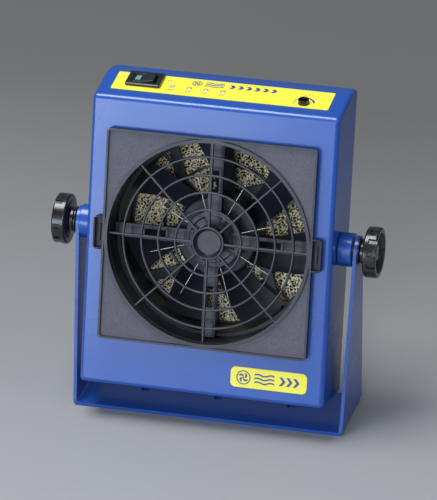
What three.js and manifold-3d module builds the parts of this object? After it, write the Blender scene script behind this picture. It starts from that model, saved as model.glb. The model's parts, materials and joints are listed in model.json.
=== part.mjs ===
// Benchtop ionizing blower: a square fan head that tilts in a U-shaped bracket.
// Millimetres, +Z up. The air outlet faces -Y. The origin is on the bench, under the middle
// of the object's bounding box.
//
// The head is modelled upright in its own frame: x to the right, y to the back, z up. The
// tilt axis crosses it at CLAMP_AXIS. The control panel on its top has a frame of its own too:
// x to the right, y up the slope from the panel's front fold, z out of the panel.

import * as THREE from 'three';
import { mergeVertices } from 'three/addons/utils/BufferGeometryUtils.js';
import Module from 'manifold-3d';

const wasm = await Module();
wasm.setup();

// ---- Driving dimensions -------------------------------------------------------------------

const GAP = 0.3; // clearance between pieces that touch
const FILM_GAP = 0.1; // clearance under a stuck-on label
const FILM = 0.3; // thickness of a label

const STAND_WIDTH = 164.6;
const STAND_DEPTH = 49.6;
const STAND_SHEET = 2;
const STAND_BEND = 3; // outer radius of the two folds
const BASE_HOLE_PITCH = 45;
const BASE_HOLE_RADIUS = 2.5;
const ARM_TOP_RADIUS = 9;
const ARM_LEAN = 1.45; // degrees outwards
const REST_TILT = 13; // degrees, leaning back
const HEAD_PLACE = [0, 12.5, 104]; // the head's frame from the middle of the base
const CLAMP_AXIS = [-7.5, 1.6]; // depth and height of the tilt axis in the head's frame

const CASE_WIDTH = 148;
const CASE_FRONT = -29.5;
const CASE_REAR = 13;
const CASE_BOTTOM = -90.3;
const CASE_TOP = 92.9;
const CASE_SHEET = 1.2;
const CASE_BEND = 2.4;
const PANEL_FOLD = 82.7; // height of the fold between the front and the control panel
const PANEL_REAR = 0; // depth of the fold between the control panel and the top

const STUD_RADIUS = 2.9;
const STUD_SPAN = [65.5, 91.5];
const SPACER_RADIUS = 10;
const SPACER_END = 82.4;
const WASHER_SPAN = [85.45, 86.65];
const KNOB_RADIUS = 15;
const KNOB_END = 98;
const KNOB_RIM = 8;
const KNOB_NECK_RADIUS = 7.4;
const KNOB_FLUTES = 12;

const FAN_HEIGHT = 1.6; // the fan's axis in the head's frame
const GUARD_SIZE = 126.3;
const GUARD_FRONT = -34;
const GUARD_BORE = 60;
const GUARD_BAR = 1.4;
const GUARD_RINGS = [19.8, 30.1, 40.3, 51.2];
const GUARD_SPOKES = 8;
const CLIP_HEIGHT = 20;
const DUCT_BORE = 60;
const HOLDER_FRONT = -19.5;
const NEEDLES = 8;
const NEEDLE_TIP = 40;
const NEEDLE_OFFSET = 17.5; // degrees, from the holder's arms to the first needle

const FAN_SIZE = 119;
const FAN_FRONT = -13.5;
const FAN_REAR = 11.5;
const FAN_BORE = 57.8;
const FAN_HOLE_PITCH = 105;
const IMPELLER_RADIUS = 56;
const IMPELLER_HUB = 24.5;
const BLADES = 7;
const STRUT_OFFSET = 19; // from the fan's axis to the middle of a strut
const STRUT_WIDTH = 6.4;

const FILTER_SIZE = 125;
const FILTER_DEPTH = 8.4;
const FOAM_RADIUS = 58;
const INTAKE_RADIUS = 57;
const COVER_BORE = 59;

const INLET_X = -40;
const INLET_Z = -75.5;
const INLET_FLOOR = -2;
const INLET_PINS = [[-7, -2], [0, 2], [7, -2]];

const LABEL_WIDTH = 130.5;
const LABEL_DEPTH = 19.9;
const LABEL_MIDDLE = [-0.4, 18.4];
const SWITCH_MIDDLE = [-47.8, 20.4];
const SWITCH_BEZEL = [21, 15];
const ROCKER_TILT = 7; // degrees to either side
const INDICATOR_X = [-30.5, -20.3, -10.2, 0];
const INDICATOR_Y = 17;
const SPEED_MIDDLE = [49.2, 13.6];
const BADGE_SIZE = [46, 12.3];
const BADGE_MIDDLE = [40.8, -76.4];

// ---- Worked-out dimensions ----------------------------------------------------------------

const DEG = Math.PI / 180;
const PANEL_SLOPE = Math.atan2(CASE_TOP - PANEL_FOLD, PANEL_REAR - CASE_FRONT);
const CASE_SIDE = CASE_WIDTH / 2;
const LEAN = ARM_LEAN * DEG;
const TILT = REST_TILT * DEG;
const PIVOT = [
  HEAD_PLACE[1] + CLAMP_AXIS[0] * Math.cos(TILT) + CLAMP_AXIS[1] * Math.sin(TILT),
  HEAD_PLACE[2] - CLAMP_AXIS[0] * Math.sin(TILT) + CLAMP_AXIS[1] * Math.cos(TILT),
]; // depth and height of the tilt axis from the middle of the base
const GUARD_PLATE_REAR = -31.4;
const GUARD_BASE_REAR = CASE_FRONT - GAP;
const COVER_FRONT = FAN_REAR + GAP;
const FILTER_FRONT = CASE_REAR + GAP;
const FILTER_GRID = 2;
const TRAY_FRONT = FILTER_FRONT + FILTER_GRID + GAP;
const STUD_HOLE = STUD_RADIUS + 0.4;
const FAN_SCREW_HOLE = 2.3;
const EAR_X = 67.5;
const EAR_Z = [-84.5, 86.5];

// ---- Materials ----------------------------------------------------------------------------

function finish(color, roughness, metalness) {
  return new THREE.MeshStandardMaterial({ color, roughness, metalness });
}

const bluePaint = finish(0x2347ab, 0.25, 0.1);
const greySheet = finish(0x8d9298, 0.4, 0.8);
const blackPlastic = finish(0x24252b, 0.55, 0);
const glossBlack = finish(0x101114, 0.22, 0);
const yellowFilm = finish(0xf4ef3e, 0.4, 0);
const steel = finish(0xb9bcc0, 0.3, 0.95);
const brass = finish(0xb89a4e, 0.35, 0.9);
const foam = finish(0x1b1a18, 0.95, 0);
const greenLens = finish(0x3ea36b, 0.2, 0);
const clearLens = finish(0xd8d8e6, 0.15, 0);
const board = finish(0x1d5a3a, 0.5, 0);
const darkBlock = finish(0x1a1b20, 0.5, 0);

// ---- Geometry helpers ---------------------------------------------------------------------

// A closed three.js geometry as a solid that can be joined and cut.
function solid(geometry) {
  const bare = geometry.clone();
  bare.deleteAttribute('normal');
  bare.deleteAttribute('uv');
  const merged = mergeVertices(bare, 1e-5);
  const corners = merged.index.array;
  const triangles = [];
  for (let i = 0; i < corners.length; i += 3) {
    const [a, b, c] = [corners[i], corners[i + 1], corners[i + 2]];
    if (a !== b && b !== c && c !== a) triangles.push(a, b, c);
  }
  return new wasm.Manifold(new wasm.Mesh({
    numProp: 3,
    vertProperties: Float32Array.from(merged.attributes.position.array),
    triVerts: Uint32Array.from(triangles),
  }));
}

function join(...pieces) {
  return pieces.reduce((sum, piece) => sum.add(piece));
}

function cut(body, ...tools) {
  return tools.reduce((rest, tool) => rest.subtract(tool), body);
}

function geometryOf(body) {
  const mesh = body.getMesh();
  const geometry = new THREE.BufferGeometry();
  geometry.setAttribute('position', new THREE.BufferAttribute(mesh.vertProperties, 3));
  geometry.setIndex(new THREE.BufferAttribute(mesh.triVerts, 1));
  geometry.computeVertexNormals();
  return geometry;
}

function box([x0, x1], [y0, y1], [z0, z1]) {
  const geometry = new THREE.BoxGeometry(x1 - x0, y1 - y0, z1 - z0);
  return solid(geometry.translate((x0 + x1) / 2, (y0 + y1) / 2, (z0 + z1) / 2));
}

// A cylinder about a line parallel to 'x', 'y' or 'z', between two places on it.
function rod(axis, radius, from, to, [a, b] = [0, 0], sides = 24) {
  const geometry = new THREE.CylinderGeometry(radius, radius, to - from, sides);
  const middle = (from + to) / 2;
  if (axis === 'x') geometry.rotateZ(-Math.PI / 2).translate(middle, a, b);
  if (axis === 'y') geometry.translate(a, middle, b);
  if (axis === 'z') geometry.rotateX(Math.PI / 2).translate(a, b, middle);
  return solid(geometry);
}

// A ring or turned piece about the y axis; the outline is [radius, y] pairs.
function turned(outline, sides) {
  const points = outline.map(([radius, y]) => new THREE.Vector2(radius, y));
  if (THREE.ShapeUtils.area(points) < 0) points.reverse();
  return solid(new THREE.LatheGeometry([...points, points[0]], sides));
}

function ring(inner, outer, from, to, sides) {
  return turned([[outer, from], [outer, to], [inner, to], [inner, from]], sides);
}

function polygon(points) {
  return new THREE.Shape(points.map(([x, y]) => new THREE.Vector2(x, y)));
}

// A closed outline of [x, y, radius] corners, each corner eased by its radius.
function softPolygon(corners) {
  const shape = new THREE.Shape();
  const count = corners.length;
  corners.forEach(([x, y, radius], i) => {
    const corner = new THREE.Vector2(x, y);
    const before = new THREE.Vector2(...corners[(i + count - 1) % count].slice(0, 2));
    const after = new THREE.Vector2(...corners[(i + 1) % count].slice(0, 2));
    const start = before.sub(corner).setLength(radius).add(corner);
    const end = after.sub(corner).setLength(radius).add(corner);
    if (i === 0) shape.moveTo(start.x, start.y);
    else shape.lineTo(start.x, start.y);
    if (radius > 0) shape.quadraticCurveTo(x, y, end.x, end.y);
  });
  return shape;
}

function softRectangle(width, height, radius, [x, y] = [0, 0]) {
  const [w, h] = [width / 2, height / 2];
  return softPolygon([
    [x - w, y - h, radius], [x + w, y - h, radius], [x + w, y + h, radius], [x - w, y + h, radius],
  ]);
}

function circle(radius, [x, y] = [0, 0]) {
  return new THREE.Shape().absarc(x, y, radius, 0, 2 * Math.PI);
}

function extruded(shape, depth, curveSegments) {
  return new THREE.ExtrudeGeometry(shape, { depth, bevelEnabled: false, curveSegments });
}

// An (x, z) outline between two depths.
function slab(shape, from, to, curveSegments = 3) {
  return solid(extruded(shape, to - from, curveSegments).rotateX(Math.PI / 2).translate(0, to, 0));
}

// A (y, z) outline across a width.
function across(shape, from, to, curveSegments = 3) {
  const turn = new THREE.Matrix4().makeBasis(
    new THREE.Vector3(0, 1, 0), new THREE.Vector3(0, 0, 1), new THREE.Vector3(1, 0, 0),
  );
  return solid(extruded(shape, to - from, curveSegments).applyMatrix4(turn).translate(from, 0, 0));
}

// An (x, y) outline between two heights.
function upright(shape, from, to, curveSegments = 3) {
  return solid(extruded(shape, to - from, curveSegments).translate(0, 0, from));
}

// Copies of a piece turned about the y axis.
function around(piece, count, start = 0) {
  const copies = [];
  for (let i = 0; i < count; i++) copies.push(piece.rotate([0, start + (360 * i) / count, 0]));
  return copies;
}

function add(parent, name, body, material, position = [0, 0, 0]) {
  const mesh = new THREE.Mesh(geometryOf(body), material);
  mesh.name = name;
  mesh.position.set(...position);
  parent.add(mesh);
  return mesh;
}

const SIDES = [['left', -1], ['right', 1]];

// ---- The object's frames ------------------------------------------------------------------

const blower = new THREE.Group();
const head = new THREE.Group();
head.position.set(...HEAD_PLACE);
head.rotation.x = -TILT;
blower.add(head);

const panel = new THREE.Group();
panel.position.set(0, CASE_FRONT, PANEL_FOLD);
panel.rotation.x = PANEL_SLOPE;
head.add(panel);

// A cutting tool given in the panel's frame, moved to the head's frame.
function onPanel(tool) {
  return tool.rotate([PANEL_SLOPE / DEG, 0, 0]).translate([0, CASE_FRONT, PANEL_FOLD]);
}

// ---- Stand --------------------------------------------------------------------------------

// Where a line from a corner touches the round top of an arm; side is -1 at the front.
function touch([y, z], side) {
  const [dy, dz] = [PIVOT[0] - y, PIVOT[1] - z];
  const angle = Math.atan2(dz, dy) + side * (Math.PI / 2 - Math.asin(ARM_TOP_RADIUS / Math.hypot(dy, dz)));
  return angle + Math.PI;
}

// One folded sheet: a base and two arms that lean outwards and narrow towards round tops.
function standBracket() {
  const fold = STAND_WIDTH / 2 - STAND_BEND;
  const rise = PIVOT[1] + STAND_DEPTH;
  const inside = STAND_BEND - STAND_SHEET;
  const armTop = (radius) => [
    fold + radius * Math.cos(LEAN) + rise * Math.sin(LEAN),
    STAND_BEND - radius * Math.sin(LEAN) + rise * Math.cos(LEAN),
  ];
  const [outerX, outerZ] = armTop(STAND_BEND);
  const [innerX, innerZ] = armTop(inside);
  const front = new THREE.Shape();
  front.moveTo(-outerX, outerZ);
  front.absarc(-fold, STAND_BEND, STAND_BEND, Math.PI + LEAN, 1.5 * Math.PI);
  front.absarc(fold, STAND_BEND, STAND_BEND, 1.5 * Math.PI, 2 * Math.PI - LEAN);
  front.lineTo(outerX, outerZ);
  front.lineTo(innerX, innerZ);
  front.absarc(fold, STAND_BEND, inside, 2 * Math.PI - LEAN, 1.5 * Math.PI, true);
  front.absarc(-fold, STAND_BEND, inside, 1.5 * Math.PI, Math.PI + LEAN, true);
  front.lineTo(-innerX, innerZ);

  const reach = STAND_DEPTH / 2;
  const side = new THREE.Shape();
  side.moveTo(-reach, -1);
  side.lineTo(reach, -1);
  side.lineTo(reach, STAND_SHEET);
  side.absarc(...PIVOT, ARM_TOP_RADIUS, touch([reach, STAND_SHEET], 1), touch([-reach, STAND_SHEET], -1));
  side.lineTo(-reach, STAND_SHEET);

  const sheet = slab(front, -reach, reach).intersect(across(side, -outerX, outerX, 9));
  const baseHoles = [-1, 0, 1].map((i) =>
    rod('z', BASE_HOLE_RADIUS, -1, STAND_SHEET + 1, [i * BASE_HOLE_PITCH, 1], 12));
  return cut(sheet, ...baseHoles, rod('x', STUD_HOLE, -outerX, outerX, PIVOT, 12));
}

add(blower, 'stand_bracket', standBracket(), bluePaint);

// ---- Case ---------------------------------------------------------------------------------

// The head's block shape, set in from the outer faces; an inset one is open at the rear.
function caseBlock(inset) {
  const bend = CASE_BEND - inset;
  const slope = Math.tan(PANEL_SLOPE);
  const drop = inset / Math.cos(PANEL_SLOPE);
  const front = CASE_FRONT + inset;
  const rear = CASE_REAR + inset;
  const bottom = CASE_BOTTOM + inset;
  const top = CASE_TOP - inset;
  const fold = PANEL_FOLD + slope * inset - drop;
  const panelRear = CASE_FRONT + (top - PANEL_FOLD + drop) / slope;
  const side = softPolygon([
    [front, bottom, bend], [rear, bottom, 0], [rear, top, 0], [panelRear, top, 3], [front, fold, bend],
  ]);
  const wide = CASE_SIDE - inset;
  const plan = softPolygon([[-wide, front, bend], [wide, front, bend], [wide, rear, 0], [-wide, rear, 0]]);
  return across(side, -CASE_SIDE, CASE_SIDE).intersect(upright(plan, bottom - 1, top + 1));
}

function frontCase() {
  const shell = cut(caseBlock(0), caseBlock(CASE_SHEET));
  const earSpan = [COVER_FRONT - GAP - CASE_SHEET, COVER_FRONT - GAP];
  const ears = [];
  const earHoles = [];
  for (const side of [-1, 1]) {
    for (const z of EAR_Z) {
      const x = side * EAR_X;
      const wall = side * (CASE_SIDE - CASE_SHEET / 2);
      const inner = side * (EAR_X - 4);
      ears.push(box([Math.min(inner, wall), Math.max(inner, wall)], earSpan, [z - 4, z + 4]));
      earHoles.push(rod('y', 1.6, earSpan[0] - 1, earSpan[1] + 1, [x, z], 8));
    }
  }
  const outlet = rod('y', GUARD_BORE + 2.6, CASE_FRONT - 1, CASE_FRONT + 2, [0, FAN_HEIGHT], 48);
  const studHoles = rod('x', STUD_HOLE, -CASE_SIDE - 1, CASE_SIDE + 1, CLAMP_AXIS, 12);
  const [sx, sy] = SWITCH_MIDDLE;
  const panelHoles = [
    box([sx - 9.6, sx + 9.6], [sy - 6.6, sy + 6.6], [-3, 2]),
    rod('z', 3.6, -3, 2, SPEED_MIDDLE, 12),
    ...INDICATOR_X.map((x) => rod('z', 1.8, -3, 2, [x, INDICATOR_Y], 8)),
  ];
  return cut(join(shell, ...ears), outlet, studHoles, ...earHoles, ...panelHoles.map(onPanel));
}

add(head, 'front_case', frontCase(), bluePaint);

const FAN_CORNERS = [[1, 1], [-1, 1], [-1, -1], [1, -1]].map(([i, j]) =>
  [(i * FAN_HOLE_PITCH) / 2, FAN_HEIGHT + (j * FAN_HOLE_PITCH) / 2]);

function rearCover() {
  const inside = CASE_SIDE - CASE_SHEET - GAP;
  const [low, high] = [CASE_BOTTOM + CASE_SHEET + GAP, CASE_TOP - CASE_SHEET - GAP];
  const outline = softRectangle(2 * inside, high - low, 1, [0, (low + high) / 2]);
  const through = [COVER_FRONT - 1, CASE_REAR + 1];
  const earHoles = [-EAR_X, EAR_X].flatMap((x) => EAR_Z.map((z) => rod('y', 1.7, ...through, [x, z], 8)));
  const fanHoles = FAN_CORNERS.map((at) => rod('y', FAN_SCREW_HOLE, ...through, at, 8));
  const intake = rod('y', COVER_BORE, ...through, [0, FAN_HEIGHT], 36);
  const inlet = box([INLET_X - 14.1, INLET_X + 14.1], through, [INLET_Z - 10.3, INLET_Z + 10.3]);
  return cut(slab(outline, COVER_FRONT, CASE_REAR), intake, inlet, ...earHoles, ...fanHoles);
}

add(head, 'rear_cover', rearCover(), bluePaint);

// A pan-head screw driven forwards along y, its head's seat at y = 0.
function screw(radius, length) {
  const headRadius = 1.9 * radius;
  return turned([[0, -length], [radius, -length], [radius, 0], [headRadius, 0], [headRadius, 0.8 * radius],
    [radius, 1.2 * radius], [0, 1.2 * radius]], 8);
}

[-EAR_X, EAR_X].flatMap((x) => EAR_Z.map((z) => [x, z])).forEach(([x, z], i) => {
  add(head, `cover_screw_${i + 1}`, screw(1.3, 6), steel, [x, CASE_REAR + GAP, z]);
});

// ---- Tilt clamps: spacer, weld nut, washer, stud and knob on each side ---------------------

// A fluted knob about the x axis, from its washer outwards.
function knob(outward) {
  const start = WASHER_SPAN[1] + GAP;
  const rimStart = KNOB_END - KNOB_RIM;
  const floor = KNOB_END - 3;
  const body = turned([
    [0, start], [KNOB_NECK_RADIUS, start], [KNOB_NECK_RADIUS, rimStart - 1], [11, rimStart - 0.6],
    [11.6, rimStart], [KNOB_RADIUS - 1, rimStart], [KNOB_RADIUS, rimStart + 1], [KNOB_RADIUS, KNOB_END - 1],
    [KNOB_RADIUS - 1, KNOB_END], [11.5, KNOB_END], [11, floor + 0.4], [5, floor], [4.6, floor + 1.4],
    [0, floor + 1.4],
  ], 24);
  const flute = box([KNOB_RADIUS - 1.1, KNOB_RADIUS + 1], [KNOB_END - 5.2, KNOB_END + 1], [-1.3, 1.3]);
  const bore = rod('y', STUD_RADIUS + GAP, start - 1, STUD_SPAN[1] + 1, [0, 0], 8);
  return cut(body, bore, ...around(flute, KNOB_FLUTES, 7.5)).rotate([0, 0, -90 * outward]);
}

for (const [side, outward] of SIDES) {
  const place = [0, ...CLAMP_AXIS];
  const span = ([from, to]) => [from, to].map((x) => x * outward).sort((a, b) => a - b);
  const tube = (radius, ends, sides) => {
    const [low, high] = span(ends);
    return cut(rod('x', radius, low, high, [0, 0], sides), rod('x', STUD_HOLE, low - 1, high + 1, [0, 0], 8));
  };
  const wall = CASE_SIDE - CASE_SHEET - GAP;
  const stud = rod('x', STUD_RADIUS, ...span(STUD_SPAN), [0, 0], 8);
  const spacer = tube(SPACER_RADIUS, [CASE_SIDE + GAP, SPACER_END], 24);
  add(head, `spacer_${side}`, spacer, bluePaint, place);
  add(head, `weld_nut_${side}`, tube(5.8, [wall - 5, wall], 6), steel, place);
  add(head, `washer_${side}`, tube(8, WASHER_SPAN, 16), glossBlack, place);
  add(head, `stud_${side}`, stud, steel, place);
  add(head, `knob_${side}`, knob(outward), glossBlack, place);
}

// ---- Control panel ------------------------------------------------------------------------

const LABEL_TOP = FILM_GAP + FILM;

function controlLabel() {
  const sheet = upright(softRectangle(LABEL_WIDTH, LABEL_DEPTH, 0.6, LABEL_MIDDLE), FILM_GAP, LABEL_TOP);
  const [sx, sy] = SWITCH_MIDDLE;
  const switchHole = box([sx - 9.6, sx + 9.6], [sy - 6.6, sy + 6.6], [-1, 2]);
  const speedHole = rod('z', 3.4, -1, 2, SPEED_MIDDLE, 12);
  const lensHoles = INDICATOR_X.map((x) => rod('z', 1.6, -1, 2, [x, INDICATOR_Y], 8));
  return cut(sheet, switchHole, speedHole, ...lensHoles);
}

function switchBody() {
  const bezelFloor = LABEL_TOP + FILM_GAP;
  const bezel = upright(softRectangle(...SWITCH_BEZEL, 0.8), bezelFloor, bezelFloor + 1.8);
  const housing = box([-9.3, 9.3], [-6.3, 6.3], [-13, bezelFloor + 1]);
  const well = box([-7.3, 7.3], [-4.7, 4.7], [-6, bezelFloor + 3]);
  const tabs = [-6, 0, 6].map((x) => box([x - 0.4, x + 0.4], [-2.4, 2.4], [-19, -12]));
  return cut(join(bezel, housing, ...tabs), well);
}

// The rocker's own origin is its pivot, 1 mm below the panel's face.
function rocker() {
  const [half, dip] = [6.6, 3.4];
  const crest = dip + half * Math.tan(ROCKER_TILT * DEG);
  const profile = polygon([
    [-half, -0.6], [-3, -3.6], [3, -3.6], [half, -0.6], [half, crest], [0, dip], [-half, crest],
  ]);
  const window = box([-5.6, -1.8], [-2.6, 2.6], [dip - 1, crest + 1]);
  return cut(slab(profile, -4.4, 4.4), window);
}

function lampLens() {
  return box([-5.4, -2], [-2.4, 2.4], [2.7, 3.7]);
}

function indicatorLens() {
  return join(rod('z', 1.4, -6, LABEL_TOP + 0.1, [0, 0], 8), rod('z', 2.2, -7.5, -5, [0, 0], 8));
}

function speedPot() {
  const body = box([-5.5, 5.5], [-5.5, 5.5], [-7.7, -2]);
  const collar = rod('z', 3.2, -3, LABEL_TOP, [0, 0], 12);
  return cut(join(body, collar), rod('z', 2.6, -5, 2, [0, 0], 12));
}

function speedRotor() {
  const slot = box([-2.6, 2.6], [-0.45, 0.45], [-1.1, 1]);
  return cut(rod('z', 2.3, -4.7, 0, [0, 0], 12), slot);
}

function indicatorBoard() {
  return box([-36, 57], [8, 25], [-9.8, -8.2]);
}

add(panel, 'control_label', controlLabel(), yellowFilm);
add(panel, 'switch_body', switchBody(), glossBlack, [...SWITCH_MIDDLE, 0]);
const rockerFrame = new THREE.Group();
rockerFrame.position.set(...SWITCH_MIDDLE, -1);
rockerFrame.rotation.y = -ROCKER_TILT * DEG;
panel.add(rockerFrame);
add(rockerFrame, 'switch_rocker', rocker(), glossBlack);
add(rockerFrame, 'switch_lamp', lampLens(), greenLens);
INDICATOR_X.forEach((x, i) => {
  add(panel, `indicator_${i + 1}`, indicatorLens(), clearLens, [x, INDICATOR_Y, 0]);
});
add(panel, 'speed_pot', speedPot(), glossBlack, [...SPEED_MIDDLE, 0]);
add(panel, 'speed_rotor', speedRotor(), glossBlack, [...SPEED_MIDDLE, 0]);
add(panel, 'indicator_board', indicatorBoard(), board);

const badgeRear = CASE_FRONT - FILM_GAP;
const badge = slab(softRectangle(...BADGE_SIZE, 3, BADGE_MIDDLE), badgeRear - FILM, badgeRear, 4);
add(head, 'badge', badge, yellowFilm);

// ---- Outlet guard: these pieces are turned about the fan's axis ----------------------------

const fan = new THREE.Group();
fan.position.z = FAN_HEIGHT;
head.add(fan);

// The snap-off guard: square border, sunk corners, rim, rings, spokes, hub and side clips.
function frontGuard() {
  const [half, rim, border] = [GUARD_SIZE / 2, 62.1, 61.85];
  const [barFront, barRear] = [GUARD_FRONT + 3, GUARD_FRONT + 5];
  const plate = slab(softRectangle(GUARD_SIZE, GUARD_SIZE, 2), GUARD_FRONT, GUARD_PLATE_REAR);
  const sunk = cut(
    box([-border, border], [GUARD_FRONT - 1, GUARD_FRONT + 1.6], [-border, border]),
    rod('y', rim, GUARD_FRONT - 2, GUARD_FRONT + 3, [0, 0], 48),
  );
  const bore = rod('y', GUARD_BORE, GUARD_FRONT - 1, GUARD_PLATE_REAR + 1, [0, 0], 48);
  const wall = ring(GUARD_BORE, 61.4, GUARD_PLATE_REAR - 0.5, barRear, 48);
  const rings = GUARD_RINGS.map((radius) =>
    ring(radius - GUARD_BAR / 2, radius + GUARD_BAR / 2, barFront, barRear, radius > 35 ? 32 : 16));
  const spoke = box([8.9, GUARD_BORE + 0.5], [barFront, barRear], [-GUARD_BAR / 2, GUARD_BAR / 2]);
  const hub = turned([[0, -27.2], [0, -26], [6.8, -26], [9.6, -29.5], [9.6, barFront - 0.4],
    [8.6, barFront - 0.4], [8.6, -30.6], [6, -27.2]], 24);
  const clips = [-1, 1].map((side) => {
    const clip = slab(softPolygon([
      [side * (half - 0.5), -CLIP_HEIGHT / 2, 0], [side * 67.2, -CLIP_HEIGHT / 2, 0], [side * 68.8, -8.5, 0],
      [side * 68.8, 8.5, 0], [side * 67.2, CLIP_HEIGHT / 2, 0], [side * (half - 0.5), CLIP_HEIGHT / 2, 0],
    ]), GUARD_FRONT + 0.4, GUARD_PLATE_REAR);
    const slot = box([side * 65.45 - 2.15, side * 65.45 + 2.15], [GUARD_FRONT - 1, 0], [-8.7, 8.7]);
    return cut(clip, slot);
  });
  return join(cut(plate, sunk, bore), wall, ...rings, ...around(spoke, GUARD_SPOKES), hub, ...clips);
}

// The fixed frame behind the guard, with a hook for each of the guard's clips.
function guardBase() {
  const front = GUARD_PLATE_REAR + GAP;
  const plate = slab(softRectangle(GUARD_SIZE - 0.6, GUARD_SIZE - 0.6, 2), front, GUARD_BASE_REAR);
  const lugs = box([-68.4, 68.4], [front, GUARD_BASE_REAR], [-9.4, 9.4]);
  const hooks = [-1, 1].map((side) =>
    box([side * 65.3 - 0.8, side * 65.3 + 0.8], [GUARD_FRONT + 2, front + 0.2], [-5, 5]));
  return cut(join(plate, lugs, ...hooks), rod('y', 61.8, front - 3, 0, [0, 0], 48));
}

function ductRing() {
  const front = CASE_FRONT + CASE_SHEET + GAP;
  return turned([[DUCT_BORE, front], [66, front], [66, front + 1.5], [DUCT_BORE + 1.4, front + 1.5],
    [DUCT_BORE + 1.4, FAN_FRONT - GAP], [DUCT_BORE, FAN_FRONT - GAP]], 40);
}

// A cross of four arms, each with a window, round a hub that holds the needles.
function electrodeHolder() {
  const rear = HOLDER_FRONT + 3;
  const hub = ring(6.5, 17, HOLDER_FRONT, rear, 24);
  const arm = box([12, DUCT_BORE - 0.8], [HOLDER_FRONT, rear], [-4.3, 4.3]);
  const window = box([28.5, 41], [HOLDER_FRONT - 1, rear + 1], [-1.9, 1.9]);
  const bore = rod('y', 6.5, HOLDER_FRONT - 1, rear + 1, [0, 0], 24);
  return cut(join(hub, ...around(cut(arm, window), 4)), bore);
}

add(fan, 'guard_base', guardBase(), blackPlastic);
add(fan, 'front_guard', frontGuard(), blackPlastic);
add(fan, 'duct_ring', ductRing(), blackPlastic);
add(fan, 'electrode_holder', electrodeHolder(), blackPlastic);
const needle = rod('x', 0.5, 17 + GAP, NEEDLE_TIP, [HOLDER_FRONT + 1.5, 0], 6);
around(needle, NEEDLES, -NEEDLE_OFFSET).forEach((piece, i) => {
  add(fan, `emitter_needle_${i + 1}`, piece, steel);
});

// ---- Fan ----------------------------------------------------------------------------------

function fanHousing() {
  const flange = 4;
  const block = slab(softRectangle(FAN_SIZE, FAN_SIZE, 4), FAN_FRONT, FAN_REAR);
  const waist = cut(
    box([-FAN_SIZE, FAN_SIZE], [FAN_FRONT + flange, FAN_REAR - flange], [-FAN_SIZE, FAN_SIZE]),
    rod('y', FAN_SIZE / 2 - 0.1, FAN_FRONT, FAN_REAR, [0, 0], 40),
  );
  const bore = rod('y', FAN_BORE, FAN_FRONT - 1, FAN_REAR + 1, [0, 0], 40);
  const holes = FAN_CORNERS.map(([x, z]) =>
    rod('y', FAN_SCREW_HOLE, FAN_FRONT - 1, FAN_REAR + 1, [x, z - FAN_HEIGHT], 8));
  const [low, high] = [STRUT_OFFSET - STRUT_WIDTH / 2, STRUT_OFFSET + STRUT_WIDTH / 2];
  const strut = box([0, FAN_BORE - 1.5], [FAN_REAR - 2.4, FAN_REAR], [low, high]);
  const motorPlate = rod('y', IMPELLER_HUB, FAN_REAR - 2.4, FAN_REAR, [0, 0], 24);
  return join(cut(block, waist, bore, ...holes), motorPlate, ...around(strut, 4, -17));
}

function fanStator() {
  const coil = rod('y', 15, -4, FAN_REAR - 2.4 - GAP, [0, 0], 16);
  const slots = around(box([9, 16], [-5, 6], [-1.5, 1.5]), 4, 45);
  return cut(coil, rod('y', 2.6, -5, FAN_REAR, [0, 0], 8), ...slots);
}

// One curved, twisted blade: a thin block bent over the impeller's radius.
function blade() {
  const [root, tip, thickness] = [IMPELLER_HUB - 1, IMPELLER_RADIUS, 1.4];
  const geometry = new THREE.BoxGeometry(tip - root, thickness, 1, 5, 1, 3);
  const place = geometry.attributes.position;
  for (let i = 0; i < place.count; i++) {
    const radius = place.getX(i) + (root + tip) / 2;
    const share = (radius - root) / (tip - root);
    const pitch = (46 - 18 * share) * DEG;
    const chord = 20 + 9 * share;
    const along = place.getZ(i) * chord;
    const camber = 2.4 * (1 - 4 * place.getZ(i) ** 2) + place.getY(i);
    const round = along * Math.cos(pitch) - camber * Math.sin(pitch);
    const angle = round / radius + 0.22 * share;
    const depth = along * Math.sin(pitch) + camber * Math.cos(pitch);
    place.setXYZ(i, radius * Math.cos(angle), depth - 1.5, radius * Math.sin(angle));
  }
  return solid(geometry);
}

function impeller() {
  const [front, rear, wall] = [-11.5, 8, 1.8];
  const inside = IMPELLER_HUB - wall;
  const cup = turned([
    [0, front], [0, -5], [4.5, -5], [4.5, front + wall], [inside, front + wall], [inside, rear],
    [IMPELLER_HUB, rear], [IMPELLER_HUB, front + 2], [IMPELLER_HUB - 2, front],
  ], 28);
  const bore = rod('y', 1.5 + GAP, front + 1.5, 0, [0, 0], 8);
  return cut(join(cup, ...around(blade(), BLADES, 18)), bore);
}

add(fan, 'fan_housing', fanHousing(), blackPlastic);
add(fan, 'fan_stator', fanStator(), brass);
add(fan, 'fan_shaft', rod('y', 1.5, -9.6, FAN_REAR - 2.4 - GAP, [0, 0], 8), steel);
add(fan, 'impeller', impeller(), blackPlastic);
FAN_CORNERS.forEach(([x, z], i) => {
  const seat = [x, FILTER_FRONT + FILTER_GRID + GAP, z];
  add(head, `fan_screw_${i + 1}`, screw(1.9, 20), steel, seat);
});

// ---- Intake filter ------------------------------------------------------------------------

function filterBase() {
  const rear = FILTER_FRONT + FILTER_GRID;
  const plate = slab(softRectangle(FILTER_SIZE, FILTER_SIZE, 3), FILTER_FRONT, rear);
  const bore = rod('y', INTAKE_RADIUS, FILTER_FRONT - 1, rear + 1, [0, 0], 36);
  const rings = [20, 38].map((radius) => ring(radius - 0.8, radius + 0.8, FILTER_FRONT, rear, 20));
  const spokes = around(box([19.5, INTAKE_RADIUS + 0.5], [FILTER_FRONT, rear], [-0.8, 0.8]), 4, 45);
  const holes = FAN_CORNERS.map(([x, z]) =>
    rod('y', FAN_SCREW_HOLE, FILTER_FRONT - 1, rear + 1, [x, z - FAN_HEIGHT], 8));
  return cut(join(cut(plate, bore), ...rings, ...spokes), ...holes);
}

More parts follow.
